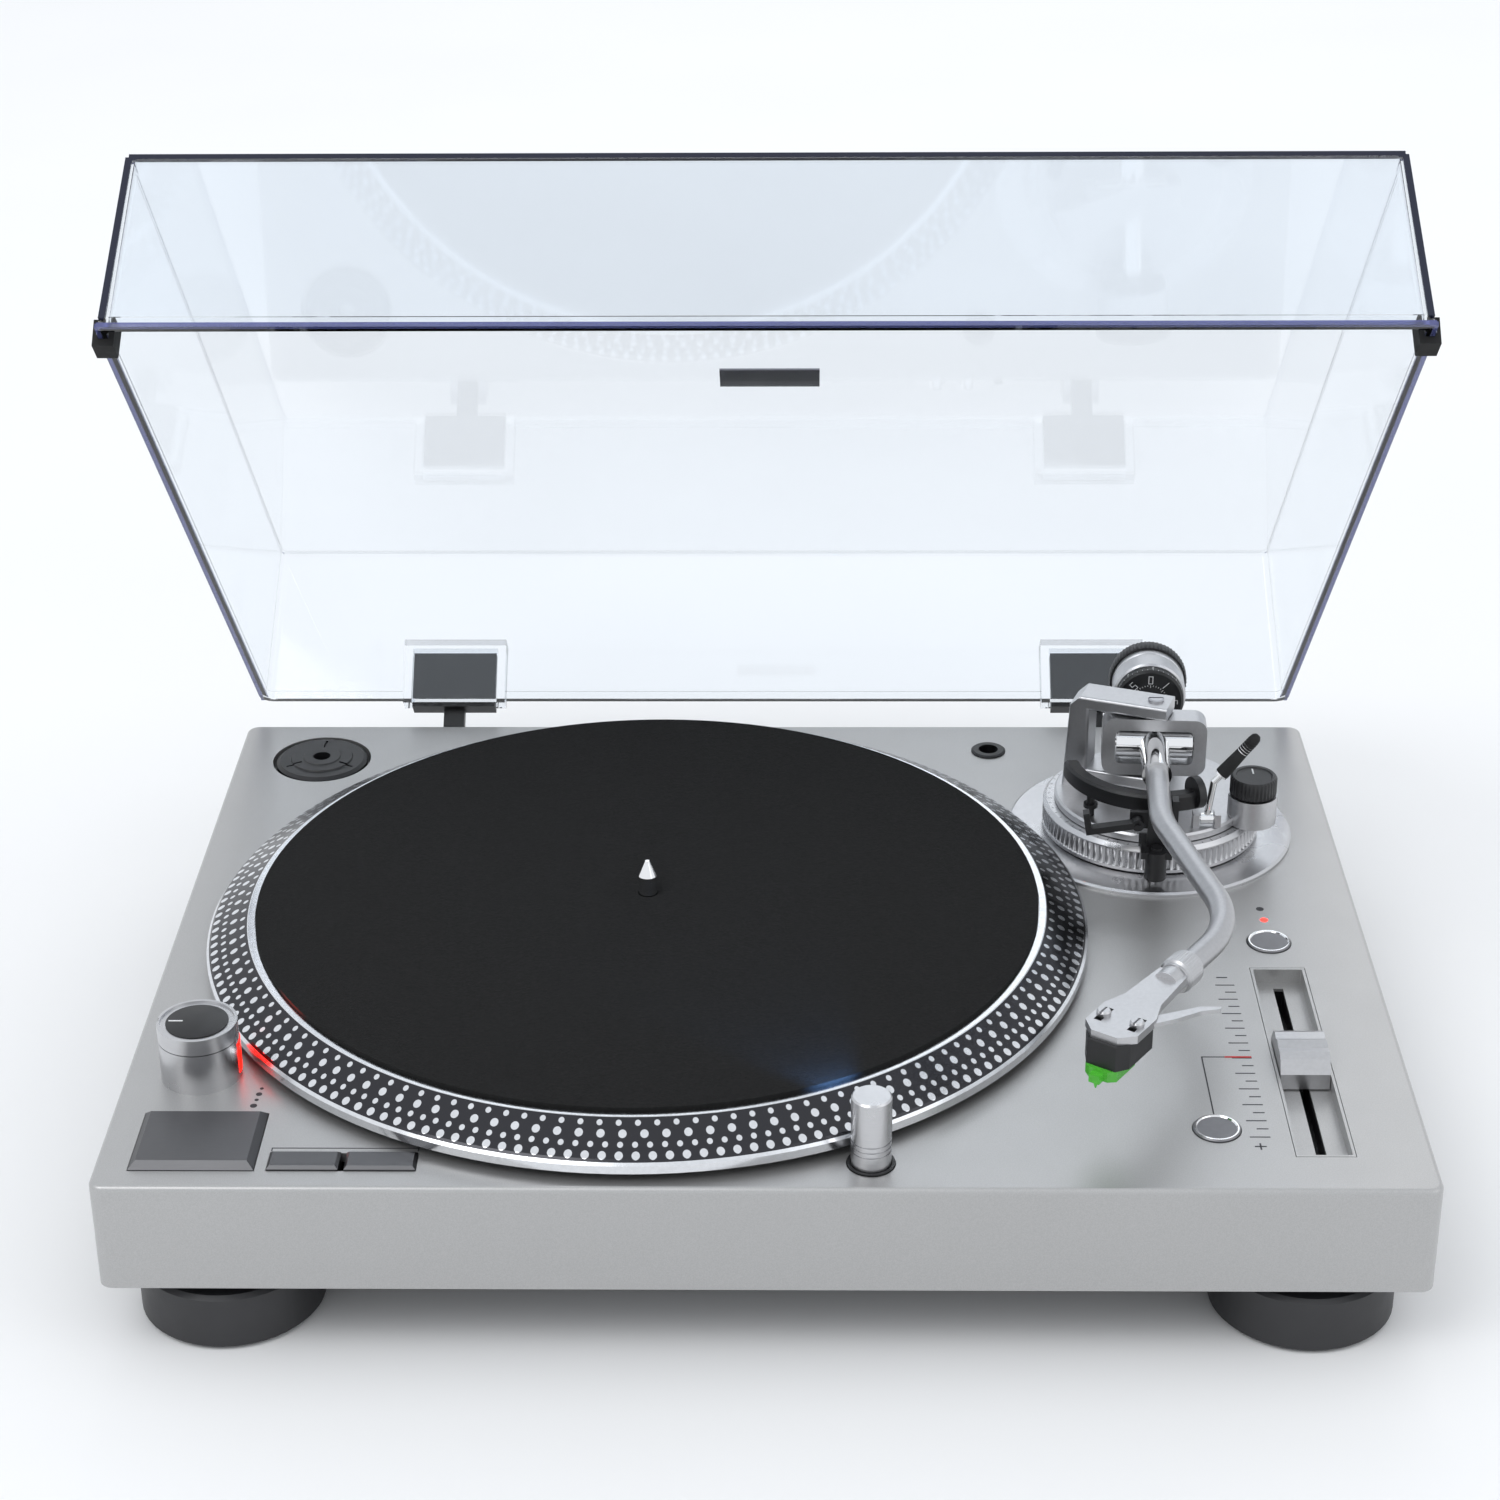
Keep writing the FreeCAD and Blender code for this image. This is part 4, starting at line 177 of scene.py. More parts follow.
def machined(name, colour, roughness=0.25, stretch=(1, 1, 40), depth=0.06):
    """Turned or brushed metal with fine lines and a little uneven polish."""
    made = Nodes(name).set(Metallic=1.0)
    low, high = tones(colour, 0.04)
    made.colour(made.ramp(made.noise(220, 4, 0.6, stretch), (0.3, low), (0.7, high)))
    made.rough(made.ramp(made.noise(40, 3), (0.2, roughness * 0.92), (0.8, roughness * 1.08)))
    return made.bump(made.noise(400, 3, 0.6, stretch), depth, 0.0001).material


def chromed():
    made = Nodes("chrome").set(Metallic=1.0)
    made.colour(made.ramp(made.noise(30, 2), (0.3, 0.82), (0.7, 0.88)))
    return made.rough(made.ramp(made.noise(120, 4), (0.3, 0.05), (0.7, 0.10))).material


def moulded(name, colour, roughness=0.5, grain=900, depth=0.12, coat=0.0):
    """Moulded plastic with a fine eroded grain and slight variation of colour."""
    made = Nodes(name).set(Coat_Weight=coat, Coat_Roughness=0.1)
    low, high = tones(colour, 0.12)
    made.colour(made.ramp(made.noise(40, 5), (0.3, low), (0.7, high)))
    made.rough(made.ramp(made.noise(150, 4), (0.2, roughness - 0.05), (0.8, roughness + 0.05)))
    return made.bump(made.noise(grain, 4, 0.6), depth, 0.0001).material


def felt():
    """Short-piled felt: matted fibres, a soft sheen and lint."""
    made = Nodes("felt").set(Sheen_Weight=0.03, Sheen_Roughness=0.6, Roughness=0.95)
    made.set(Specular_IOR_Level=0.1)
    fibres = made.noise(900, 8, 0.75)
    made.colour(made.ramp(fibres, (0.3, 0.006), (0.62, 0.013), (0.8, 0.03)))
    return made.bump(fibres, 0.6, 0.0006).material


def rubber():
    made = Nodes("rubber").set(Specular_IOR_Level=0.35)
    made.colour(made.ramp(made.noise(80, 4), (0.3, 0.006), (0.7, 0.012)))
    made.rough(made.ramp(made.noise(200, 3), (0.2, 0.6), (0.8, 0.75)))
    return made.bump(made.noise(700, 4), 0.2, 0.0002).material


def acrylic(name, tint, roughness=0.02, weight=1.0):
    """Clear sheet: a faint tint, and a few hairline scuffs in its polish."""
    made = Nodes(name).set(Transmission_Weight=weight, IOR=1.49)
    low, high = tones(tint, 0.01)
    made.colour(made.ramp(made.noise(8, 2), (0.3, low), (0.7, high)))
    made.rough(made.ramp(made.noise(25, 6), (0.45, roughness), (0.9, roughness + 0.05)))
    return made.material


def coloured_clear(name, tint, glow=0.0):
    made = Nodes(name).set(Transmission_Weight=0.6, IOR=1.49, Roughness=0.12)
    low, high = tones(tint, 0.1)
    made.colour(made.ramp(made.noise(120, 3), (0.3, low), (0.7, high)))
    # A lit lamp behind the strobe lens; on the green stylus, which is no lamp, this emission is a painted
    # glow.
    if glow:
        made.set(Emission_Color=tint, Emission_Strength=glow)
    return made.material


def glowing(name, tint, strength):
    made = Nodes(name).set(Emission_Color=tint, Emission_Strength=strength, Roughness=0.4)
    return made.colour(made.ramp(made.noise(300, 2), (0.3, tint), (0.7, tint))).material


def printed(name, colour):
    """Screen-printed ink, a little uneven."""
    made = Nodes(name).set(Roughness=0.55)
    low, high = tones(colour, 0.15)
    return made.colour(made.ramp(made.noise(700, 3), (0.3, low), (0.7, high))).material


def circuit_board():
    made = Nodes("circuit_board").set(Coat_Weight=0.4, Roughness=0.4)
    cells = made.add("ShaderNodeTexBrick", Scale=90.0)
    made.link(made.coordinates(), cells.inputs["Vector"])
    cells.inputs["Color1"].default_value = (0.015, 0.13, 0.05, 1)
    cells.inputs["Color2"].default_value = (0.02, 0.18, 0.07, 1)
    cells.inputs["Mortar"].default_value = (0.05, 0.3, 0.1, 1)
    return made.colour(cells.outputs["Color"]).material


def strobe_metal(outer, inner, base, rows):
    """The platter's polished rim. Each row is a ring of round dots: radius, dot size and count."""
    made = Nodes("platter_alloy").set(Metallic=1.0)
    place = made.add("ShaderNodeTexCoord")
    split = made.add("ShaderNodeSeparateXYZ")
    shift = made.add("ShaderNodeVectorMath", operation="SUBTRACT")
    shift.inputs[1].default_value = SPINDLE
    made.link(place.outputs["Object"], shift.inputs[0])
    made.link(shift.outputs[0], split.inputs[0])

    def calc(operation, first, second=None):
        node = made.add("ShaderNodeMath", operation=operation)
        for socket, value in zip(node.inputs, (first, second)):
            if isinstance(value, (int, float)):
                socket.default_value = value
            elif value is not None:
                made.link(value, socket)
        return node.outputs[0]

    x, y = split.outputs["X"], split.outputs["Y"]
    radius = calc("SQRT", calc("ADD", calc("MULTIPLY", x, x), calc("MULTIPLY", y, y)))
    turn = calc("DIVIDE", calc("ARCTAN2", y, x), 2 * math.pi)
    dots = None
    for at, size, count in rows:
        cell = calc("SUBTRACT", calc("FRACT", calc("MULTIPLY", calc("ADD", turn, 1), count)), 0.5)
        along = calc("MULTIPLY", cell, 2 * math.pi * at / count)
        across = calc("SUBTRACT", radius, at)
        far = calc("SQRT", calc("ADD", calc("MULTIPLY", along, along), calc("MULTIPLY", across, across)))
        inside = calc("LESS_THAN", far, size / 2)
        dots = inside if dots is None else calc("MAXIMUM", dots, inside)
    low, high = tones((0.74, 0.75, 0.77), 0.05)
    metal = made.ramp(made.noise(500, 3), (0.3, low), (0.7, high))
    band = calc("MULTIPLY", calc("GREATER_THAN", radius, inner), calc("LESS_THAN", radius, outer))
    dark = made.add("ShaderNodeMix", data_type="RGBA")
    made.link(calc("MULTIPLY", band, calc("SUBTRACT", 1.0, dots)), dark.inputs["Factor"])
    made.link(metal, dark.inputs[6])
    dark.inputs[7].default_value = (*base, 1)
    made.colour(dark.outputs[2])
    made.rough(made.ramp(made.noise(140, 4), (0.2, 0.14), (0.8, 0.22)))
    return made.material


BASE = {
    "silver_paint": speckled_metal(),
    "silver_alloy": machined("silver_alloy", (0.52, 0.52, 0.53), 0.34, (3, 3, 3), 0.02),
    "turned_alloy": machined("turned_alloy", (0.56, 0.56, 0.57), 0.28),
    "tube_alloy": machined("tube_alloy", (0.46, 0.46, 0.47), 0.36, (3, 3, 3), 0.02),
    "ring_alloy": machined("ring_alloy", (0.55, 0.55, 0.56), 0.28),
    "chrome": chromed(),
    "steel": machined("steel", (0.5, 0.5, 0.52), 0.35, (1, 60, 60)),
    "copper": machined("copper", (0.55, 0.27, 0.12), 0.4),
    "magnet": moulded("magnet", (0.05, 0.048, 0.046), 0.6),
    "dark_plastic": moulded("dark_plastic", (0.007, 0.007, 0.008), 0.4),
    "foot_plastic": moulded("grey_plastic", (0.022, 0.022, 0.024), 0.45, 700, 0.25),
    "black_button": machined("black_button", (0.13, 0.13, 0.135), 0.36, (1, 30, 30), 0.02),
    "grey_button": machined("grey_button", (0.22, 0.22, 0.23), 0.42, (3, 3, 3), 0.02),
    "felt": felt(),
    "rubber": rubber(),
    "circuit_board": circuit_board(),
    "badge_grey": machined("badge_grey", (0.16, 0.16, 0.19), 0.4, (1, 60, 60), 0.02),
    # The stylus is no lamp: its small emission is a painted glow on the green plastic.
    "green_plastic": coloured_clear("green_plastic", (0.12, 0.62, 0.06), 0.08),
    "red_lens": coloured_clear("red_lens", (0.75, 0.02, 0.01), 1.2),
    "clear": acrylic("clear_acrylic", (0.93, 0.96, 0.99)),
    # Edge and rim strips of the cover: partly the sheet's own blue tint, partly painted shade where its
    # edges turn dark.
    "edge": acrylic("acrylic_edge_tint_and_painted_shade", (0.008, 0.012, 0.035), 0.05, 0.25),
    "rim": acrylic("acrylic_rim", (0.20, 0.22, 0.50), 0.06, 0.6),
    "ink": printed("ink_dark", (0.03, 0.03, 0.035)),
    "white_ink": printed("ink_white", (0.75, 0.75, 0.75)),
    "red_ink": printed("ink_red", (0.55, 0.02, 0.02)),
    "led": glowing("red_led", (1.0, 0.03, 0.02), 3.0),
    "lamp": glowing("lamp_blue", (0.25, 0.5, 1.0), 6.0),
}

# ---------------------------------------------------------------------------
# Building pieces
# ---------------------------------------------------------------------------


def finished(obj, body, look, smooth=True):
    """Give a new piece its material and its body."""
    obj.data.materials.clear()
    obj.data.materials.append(BASE[look])
    if smooth and obj.type == "MESH":
        for face in obj.data.polygons:
            face.use_smooth = True
    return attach(obj, body)


def piece(name, mesh, body, look, smooth=True):
    data = bpy.data.meshes.new(name)
    mesh.normal_update()
    mesh.to_mesh(data)
    mesh.free()
    obj = bpy.data.objects.new(name, data)
    bpy.context.collection.objects.link(obj)
    return finished(obj, body, look, smooth)


def rotation_to(axis):
    return Vector((0, 0, 1)).rotation_difference(Vector(axis)).to_matrix().to_4x4()


def lathe(name, profile, at, axis, body, look, steps=96, ripple=None):
    """Sweep (radius, height) points, in millimetres, round an axis. A ripple is the lowest and
    highest height, a count, a depth and the least radius of the points that it cuts knurls into."""
    mesh = bmesh.new()
    turn = rotation_to(axis)
    lowest, highest, count, depth, least = ripple or (0, 0, 0, 0, 0)
    rings = []
    for radius, height in profile:
        rippled = ripple and lowest <= height <= highest and radius > least
        ring = []
        for i in range(steps):
            angle = 2 * math.pi * i / steps
            r = radius
            if rippled:
                r -= depth * (0.5 + 0.5 * math.cos(count * angle))
            local = Vector((r * math.cos(angle) * MM, r * math.sin(angle) * MM, height * MM))
            ring.append(mesh.verts.new(turn @ local + Vector(at)))
        rings.append(ring)
    for first, second in zip(rings, rings[1:]):
        for i in range(steps):
            k = (i + 1) % steps
            mesh.faces.new((first[i], first[k], second[k], second[i]))
    bmesh.ops.remove_doubles(mesh, verts=mesh.verts, dist=1e-6)
    bmesh.ops.recalc_face_normals(mesh, faces=mesh.faces)
    obj = piece(name, mesh, body, look)
    sharpen(obj, 40)
    return obj


def sharpen(obj, degrees):
    """Shade smooth, but keep edges sharper than the angle."""
    mesh = bmesh.new()
    mesh.from_mesh(obj.data)
    limit = math.radians(degrees)
    for edge in mesh.edges:
        if len(edge.link_faces) == 2 and edge.calc_face_angle(0) > limit:
            edge.smooth = False
    mesh.to_mesh(obj.data)
    mesh.free()


def plate(name, outline, z, thick, body, look, place=None, bevel=0.0):
    """A flat plate from an outline in millimetres, raised by its thickness from height z."""
    mesh = bmesh.new()
    verts = [mesh.verts.new((x * MM, y * MM, z * MM)) for x, y in outline]
    face = mesh.faces.new(verts)
    raised = bmesh.ops.extrude_face_region(mesh, geom=[face])
    tops = [v for v in raised["geom"] if isinstance(v, bmesh.types.BMVert)]
    bmesh.ops.translate(mesh, vec=(0, 0, thick * MM), verts=tops)
    bmesh.ops.recalc_face_normals(mesh, faces=mesh.faces)
    if place is not None:
        mesh.transform(place)
    obj = piece(name, mesh, body, look, smooth=False)
    if bevel:
        round_edges(obj, bevel)
    return obj


def round_edges(obj, width, segments=3):
    """Round every edge sharper than 30 degrees, and shade the result by its faces' areas."""
    modifier = obj.modifiers.new("Bevel", "BEVEL")
    modifier.width = width * MM
    modifier.segments = segments
    modifier.limit_method = "ANGLE"
    modifier.harden_normals = False
    for face in obj.data.polygons:
        face.use_smooth = True
    weighted = obj.modifiers.new("Shading", "WEIGHTED_NORMAL")
    weighted.keep_sharp = True


def circle(x, y, radius, count=32):
    return [
        (x + radius * math.cos(2 * math.pi * i / count), y + radius * math.sin(2 * math.pi * i / count))
        for i in range(count)
    ]


def oblong(x0, y0, x1, y1):
    return [(x0, y0), (x1, y0), (x1, y1), (x0, y1)]


INK_THICK = 0.06


def plinth_print(name, outlines, look="ink", z=0.0):
    """Thin printed marks on the plinth's top, as one piece."""
    mesh = bmesh.new()
    for outline in outlines:
        low = [mesh.verts.new(on_plinth(x, y, z)) for x, y in outline]
        face = mesh.faces.new(low)
        raised = bmesh.ops.extrude_face_region(mesh, geom=[face])
        tops = [v for v in raised["geom"] if isinstance(v, bmesh.types.BMVert)]
        bmesh.ops.translate(mesh, vec=(0, 0, INK_THICK * MM), verts=tops)
    bmesh.ops.recalc_face_normals(mesh, faces=mesh.faces)
    return piece(name, mesh, "plinth", look, smooth=False)


# ---------------------------------------------------------------------------
# Finishes of the CAD nodes that show as they are
# ---------------------------------------------------------------------------

FINISH = {
    "silver_paint": ["top_case", "slider_tray"],
    "dark_plastic": [
        "bottom_cover", "lamp_sleeve", "rear_panel", "mains_inlet", "preamp_switch",
        "adapter_45", "lift_bar", "arm_rest", "arm_clip", "panel_switches", "cartridge",
        "headshell_socket", "hinge_leaves", "anti_skate_knob", "force_dial", "slider_potentiometer",
    ],
    "foot_plastic": ["foot_cups"],
    "felt": ["foot_felts", "slip_mat"],
    "rubber": ["foot_necks", "lid_bumpers"],
    "steel": [
        "case_screws", "spindle_bearing", "stator_core", "transformer",
        "hinge_brackets", "yoke_screws",
    ],
    "copper": ["motor_coils"],
    "circuit_board": ["motor_board", "main_board"],
    "silver_alloy": [
        "slider_knob", "arm_deck", "yoke", "gimbal_ring", "headshell_nut", "headshell",
        "counterweight",
    ],
    "turned_alloy": ["strobe_tower", "power_knob", "target_light"],
    "ring_alloy": ["arm_base_disc", "height_ring"],
    "tube_alloy": ["arm_tube"],
    "red_lens": ["strobe_lens"],
    "chrome": ["spindle", "rca_sockets", "cue_lever", "arm_barrel"],
    "magnet": ["magnet_ring"],
    "black_button": ["start_stop_button", "speed_33_button", "speed_45_button"],
    "grey_button": ["tempo_button", "quartz_button"],
    "clear": ["lid"],
    "badge_grey": ["lid_badge"],
    "green_plastic": ["stylus"],
}


def shade_by_angle(obj, degrees=32):
    """Smooth shading with sharp edges kept, without touching the CAD mesh's points."""
    for face in obj.data.polygons:
        face.use_smooth = True
    obj.data.set_sharp_from_angle(angle=math.radians(degrees))


def finish_nodes():
    """Give every CAD node that shows its finish, and the platter its rows of speed dots."""
    for look, names in FINISH.items():
        for name in names:
            obj = frame["nodes"][name]
            for slot in obj.material_slots:
                slot.material = BASE[look]
            shade_by_angle(obj)
    rows = [
        (163.0 * MM, 2.8 * MM, 180),
        (159.4 * MM, 2.0 * MM, 200),
        (155.8 * MM, 2.8 * MM, 133),
        (152.2 * MM, 2.0 * MM, 148),
    ]
    rim = strobe_metal(165.0 * MM, 150.3 * MM, (0.05, 0.05, 0.055), rows)
    obj = frame["nodes"]["platter"]
    for slot in obj.material_slots:
        slot.material = rim
    shade_by_angle(obj, 20)


# ---------------------------------------------------------------------------
# The dust cover
# ---------------------------------------------------------------------------

OPEN = math.radians(47)


def on_lid(x, y, z):
    """A point of the shut cover, in millimetres from its hinge axis, where it is when open."""
    turned = Matrix.Rotation(-OPEN, 3, "X") @ Vector((x, y, z)) * MM
    return Vector((0, HINGE.y, HINGE.z)) + turned


# The shut cover in millimetres from its hinge axis: where its middle and its rim are, and
# half its width and depth and its height inside the bevelled edges.
LID_MIDDLE = -182.65
RIM = 20.5
LID_HALF_WIDTH = 222.0
LID_HALF_DEPTH = 172.25
LID_HEIGHT = 70.0


def lid_strip(name, path, across, up, look):
    """A slim bar along the cover's edge: path points, and its half sizes in two directions."""
    mesh = bmesh.new()
    rings = []
    for point in path:
        corners = [(-1, -1), (1, -1), (1, 1), (-1, 1)]
        ring = []
        for a, b in corners:
            offset = Vector(across) * a + Vector(up) * b
            ring.append(mesh.verts.new(on_lid(*(Vector(point) + offset))))
        rings.append(ring)
    for first, second in zip(rings, rings[1:]):
        for i in range(4):
            mesh.faces.new((first[i], first[(i + 1) % 4], second[(i + 1) % 4], second[i]))
    mesh.faces.new(rings[0][::-1])
    mesh.faces.new(rings[-1])
    bmesh.ops.recalc_face_normals(mesh, faces=mesh.faces)
    return piece(name, mesh, "dust_cover", look, smooth=False)


def cover_edges():
    """The cut edges of the sheet, partly the deep blue that its own tint gathers, partly painted shade
    where the bent edges turn dark.
    """
    inside = 1.25
    half = LID_HALF_WIDTH - inside
    front = LID_MIDDLE - LID_HALF_DEPTH + inside
    back = LID_MIDDLE + LID_HALF_DEPTH - inside
    top = RIM + LID_HEIGHT - inside
    side, fore, aft = 3.2, 6.0, 2.2
    corner = {
        "front_left": ((-half, front, RIM + 4), (side - half, front + fore, top)),
        "front_right": ((half, front, RIM + 4), (half - side, front + fore, top)),
    }
    for name, (low, high) in corner.items():
        lid_strip(f"cover_edge_{name}", [low, high], (1.15, 0, 0), (0, 1.15, 0), "edge")
    lid_strip(
        "cover_edge_front_top",
        [(side - half, front + fore, top), (half - side, front + fore, top)],
        (0, 1.2, 0),
        (0, 0, 1.2),
        "edge",
    )
    for name, sign in (("left", -1), ("right", 1)):
        path = [(sign * (half - side), front + fore, top), (sign * (half - side), back - aft, top)]
        lid_strip(f"cover_edge_top_{name}", path, (0.7, 0, 0), (0, 0, 0.7), "rim")
    low = RIM + 0.9
    rim_half = LID_HALF_WIDTH + 0.1
    rim_front = LID_MIDDLE - LID_HALF_DEPTH - 0.15
    rim_back = LID_MIDDLE + LID_HALF_DEPTH - 0.05
    lid_strip("cover_rim_front", [(-rim_half, rim_front, low), (rim_half, rim_front, low)],
              (0, 0.75, 0), (0, 0, 0.85), "rim")
    for name, sign in (("left", -1), ("right", 1)):
        path = [(sign * rim_half, rim_front, low), (sign * rim_half, rim_back, low)]
        lid_strip(f"cover_rim_{name}", path, (0.7, 0, 0), (0, 0, 0.8), "rim")


# ---------------------------------------------------------------------------
# Marks on the top
# ---------------------------------------------------------------------------


def pitch_scale():
    """The ticks beside the slider, longer at every second one, with a red centre mark."""
    ticks = []
    first, last, count = -141.3, -41.7, 21
    for i in range(count):
        y = first + (last - first) * i / (count - 1)
        long = 7.0 if i % 2 == 0 else 4.0
        ticks.append(oblong(172.0 - long, y - 0.25, 172.0, y + 0.25))
    plinth_print("pitch_scale", ticks)
    plinth_print("pitch_zero", [oblong(162.5, -91.3, 172.0, -90.4)], "red_ink", 0.01)
    signs = [oblong(166.0, -36.6, 170.0, -36.0), oblong(166.0, -147.3, 170.0, -146.7)]
    signs.append(oblong(167.7, -148.9, 168.3, -145.1))
    plinth_print("pitch_signs", signs)
    line = [oblong(154.15, -127.5, 154.65, -90.6), oblong(154.15, -91.1, 162.5, -90.6)]
    plinth_print("quartz_line", line)


def top_marks():
    """The bracket and small lamp by the speed keys, the tempo lamps and the strobe's dots."""
    lines = [oblong(-167.3, -149.6, -117.1, -149.2)]
    lines += [oblong(-167.3, -151.2, -166.9, -149.2), oblong(-117.5, -151.2, -117.1, -149.2)]
    plinth_print("speed_bracket", lines)
    speed_lamp = (-147.0, -152.7)
    plinth_print("speed_lamp_rim", [circle(*speed_lamp, 0.9, 24)])
    plinth_print("speed_lamp", [circle(*speed_lamp, 0.6, 24)], "led", INK_THICK)
    plinth_print("tempo_lamp_dark", [circle(188.7, 14.7, 1.5, 24)], "ink")
    plinth_print("tempo_lamp_red", [circle(189.2, 6.3, 1.5, 24)], "led")
    dots = ((-177.6, -123.5, 1.25), (-177.1, -119.8, 0.75), (-176.8, -116.2, 1.1), (-176.4, -112.6, 0.7))
    plinth_print("strobe_marks", [circle(x, y, size, 24) for x, y, size in dots])


# ---------------------------------------------------------------------------
# Knobs, weight and dial
# ---------------------------------------------------------------------------


# How far the force dial's front face is behind the arm's pivot, in millimetres.
DIAL_FRONT = 37.0


def digit_strokes(digit):
    """A digit as the bars of a seven-bar figure, on a grid 2 wide and 4 high."""
    bars = {
        "a": ((0, 4), (2, 4)), "b": ((2, 4), (2, 2)), "c": ((2, 2), (2, 0)), "d": ((0, 0), (2, 0)),
        "e": ((0, 2), (0, 0)), "f": ((0, 4), (0, 2)), "g": ((0, 2), (2, 2)),
    }
    lit = {0: "abcdef", 1: "bc", 2: "abged", 3: "abgcd", 4: "fgbc"}[digit]
    return [bars[name] for name in lit]


def numbered_ring(name, at, axis, radius, low, high, body):
    """White ticks and plain numbers round a dial's rim."""
    mesh = bmesh.new()
    turn = rotation_to(axis)

    def bar(angle_a, height_a, angle_b, height_b, half):
        """A thin bar on the rim between two (angle, height) points, in millimetres round it."""
        across = Vector((angle_b - angle_a, height_b - height_a))
        side = Vector((-across.y, across.x)).normalized() * half
        corners = [
            Vector((angle_a, height_a)) - side, Vector((angle_b, height_b)) - side,
            Vector((angle_b, height_b)) + side, Vector((angle_a, height_a)) + side,
        ]
        layers = []
        for r in (radius, radius + 0.05):
            ring = []
            for corner in corners:
                angle = corner.x / radius
                local = Vector((r * math.cos(angle), r * math.sin(angle), corner.y)) * MM
                ring.append(mesh.verts.new(turn @ local + Vector(at)))
            layers.append(ring)
        mesh.faces.new(layers[0][::-1])
        mesh.faces.new(layers[1])
        for i in range(4):
            k = (i + 1) % 4
            mesh.faces.new((layers[0][i], layers[0][k], layers[1][k], layers[1][i]))

    around = 2 * math.pi * radius
    count = 40
    for i in range(count):
        step = around * i / count
        long = 1.3 if i % 5 == 0 else 0.7
        bar(step, low + 0.15, step, low + 0.15 + long, 0.09)
    size = (high - low - 2.0) / 4
    for i in range(8):
        start = around * i / 8 - size
        for (xa, ya), (xb, yb) in digit_strokes(i % 4 if i < 4 else (8 - i) % 5):
            base = low + 1.7
            bar(start + xa * size, base + ya * size, start + xb * size, base + yb * size, 0.12)
    bmesh.ops.recalc_face_normals(mesh, faces=mesh.faces)
    return piece(name, mesh, body, "white_ink", smooth=False)


def knurled_band(name, radius, low, high, at, axis, body, look, count, depth):
    """A ring of straight knurls, just inside the CAD's own size."""
    steps = count * 4
    core = radius - 1.6
    profile = [(core, low), (radius - 0.5, low), (radius, low + 0.5), (radius, high - 0.5)]
    profile += [(radius - 0.5, high), (core, high)]
    ripple = (low + 0.2, high - 0.2, count, depth, radius - 0.8)
    return lathe(name, profile, at, axis, body, look, steps, ripple)


def arm_weights():
    """The black numbered dial, the silver weight and its knurled black end."""
    dial = [
        (4.3, DIAL_FRONT), (12.8, DIAL_FRONT), (13.8, DIAL_FRONT + 1.0), (13.8, DIAL_FRONT + 4.0),
        (13.4, DIAL_FRONT + 4.0), (4.3, DIAL_FRONT + 4.0), (4.3, DIAL_FRONT),
    ]
    obj = lathe("force_dial_shown", dial, PIVOT, ARM_Y, "force_dial", "dark_plastic")
    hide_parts("force_dial")
    numbered_ring("force_dial_numbers", PIVOT, ARM_Y, 13.8, DIAL_FRONT + 0.8, DIAL_FRONT + 4.0,
                  "force_dial")
    low = DIAL_FRONT + 4.3
    body = [
        (4.3, low), (14.0, low), (14.8, low + 0.8), (14.8, low + 9.6), (14.4, low + 10.0),
        (14.4, low + 10.6), (14.8, low + 11.0), (14.8, low + 14.0), (4.3, low + 14.0), (4.3, low),
    ]
    obj = lathe("counterweight_body", body, PIVOT, ARM_Y, "counterweight", "silver_alloy")
    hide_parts("counterweight")
    grip = low + 14.0
    knurled_band("counterweight_grip", 16.0, grip, grip + 6.2, PIVOT, ARM_Y, "counterweight",
                 "dark_plastic", 60, 0.45)
    cap = [
        (4.3, grip), (14.6, grip), (14.6, grip + 6.4), (13.4, grip + 7.0), (5.2, grip + 7.0),
        (4.3, grip + 6.4), (4.3, grip),
    ]
    lathe("counterweight_cap", cap, PIVOT, ARM_Y, "counterweight", "dark_plastic")


def dial_face():
    """Plain numbers round the dial's front face, read from the front."""
    mesh = bmesh.new()
    front = DIAL_FRONT - 0.05
    for i in range(8):
        angle = 2 * math.pi * i / 8 + math.pi / 2
        for (xa, ya), (xb, yb) in digit_strokes(i % 5):
            ends = []
            for gx, gy in ((xa, ya), (xb, yb)):
                ends.append(Vector(((gx - 1) * 0.8, 8.0 + gy * 0.8)))
            along = (ends[1] - ends[0]).normalized() * 0.14
            side = Vector((-along.y, along.x))
            corners = [ends[0] - along - side, ends[1] + along - side]
            corners += [ends[1] + along + side, ends[0] - along + side]
            flat = []
            for corner in corners:
                turned = Matrix.Rotation(angle - math.pi / 2, 2) @ corner
                flat.append(mesh.verts.new(on_arm(-turned.x, front, turned.y)))
            mesh.faces.new(flat)
    for i in range(40):
        angle = 2 * math.pi * i / 40
        inner = 6.2 if i % 5 == 0 else 6.8
        flat = []
        for x, y in ((-0.1, inner), (0.1, inner), (0.1, 7.4), (-0.1, 7.4)):
            turned = Matrix.Rotation(angle, 2) @ Vector((x, y))
            flat.append(mesh.verts.new(on_arm(turned.x, front, turned.y)))
        mesh.faces.new(flat)
    return piece("force_dial_face", mesh, "force_dial", "white_ink", smooth=False)


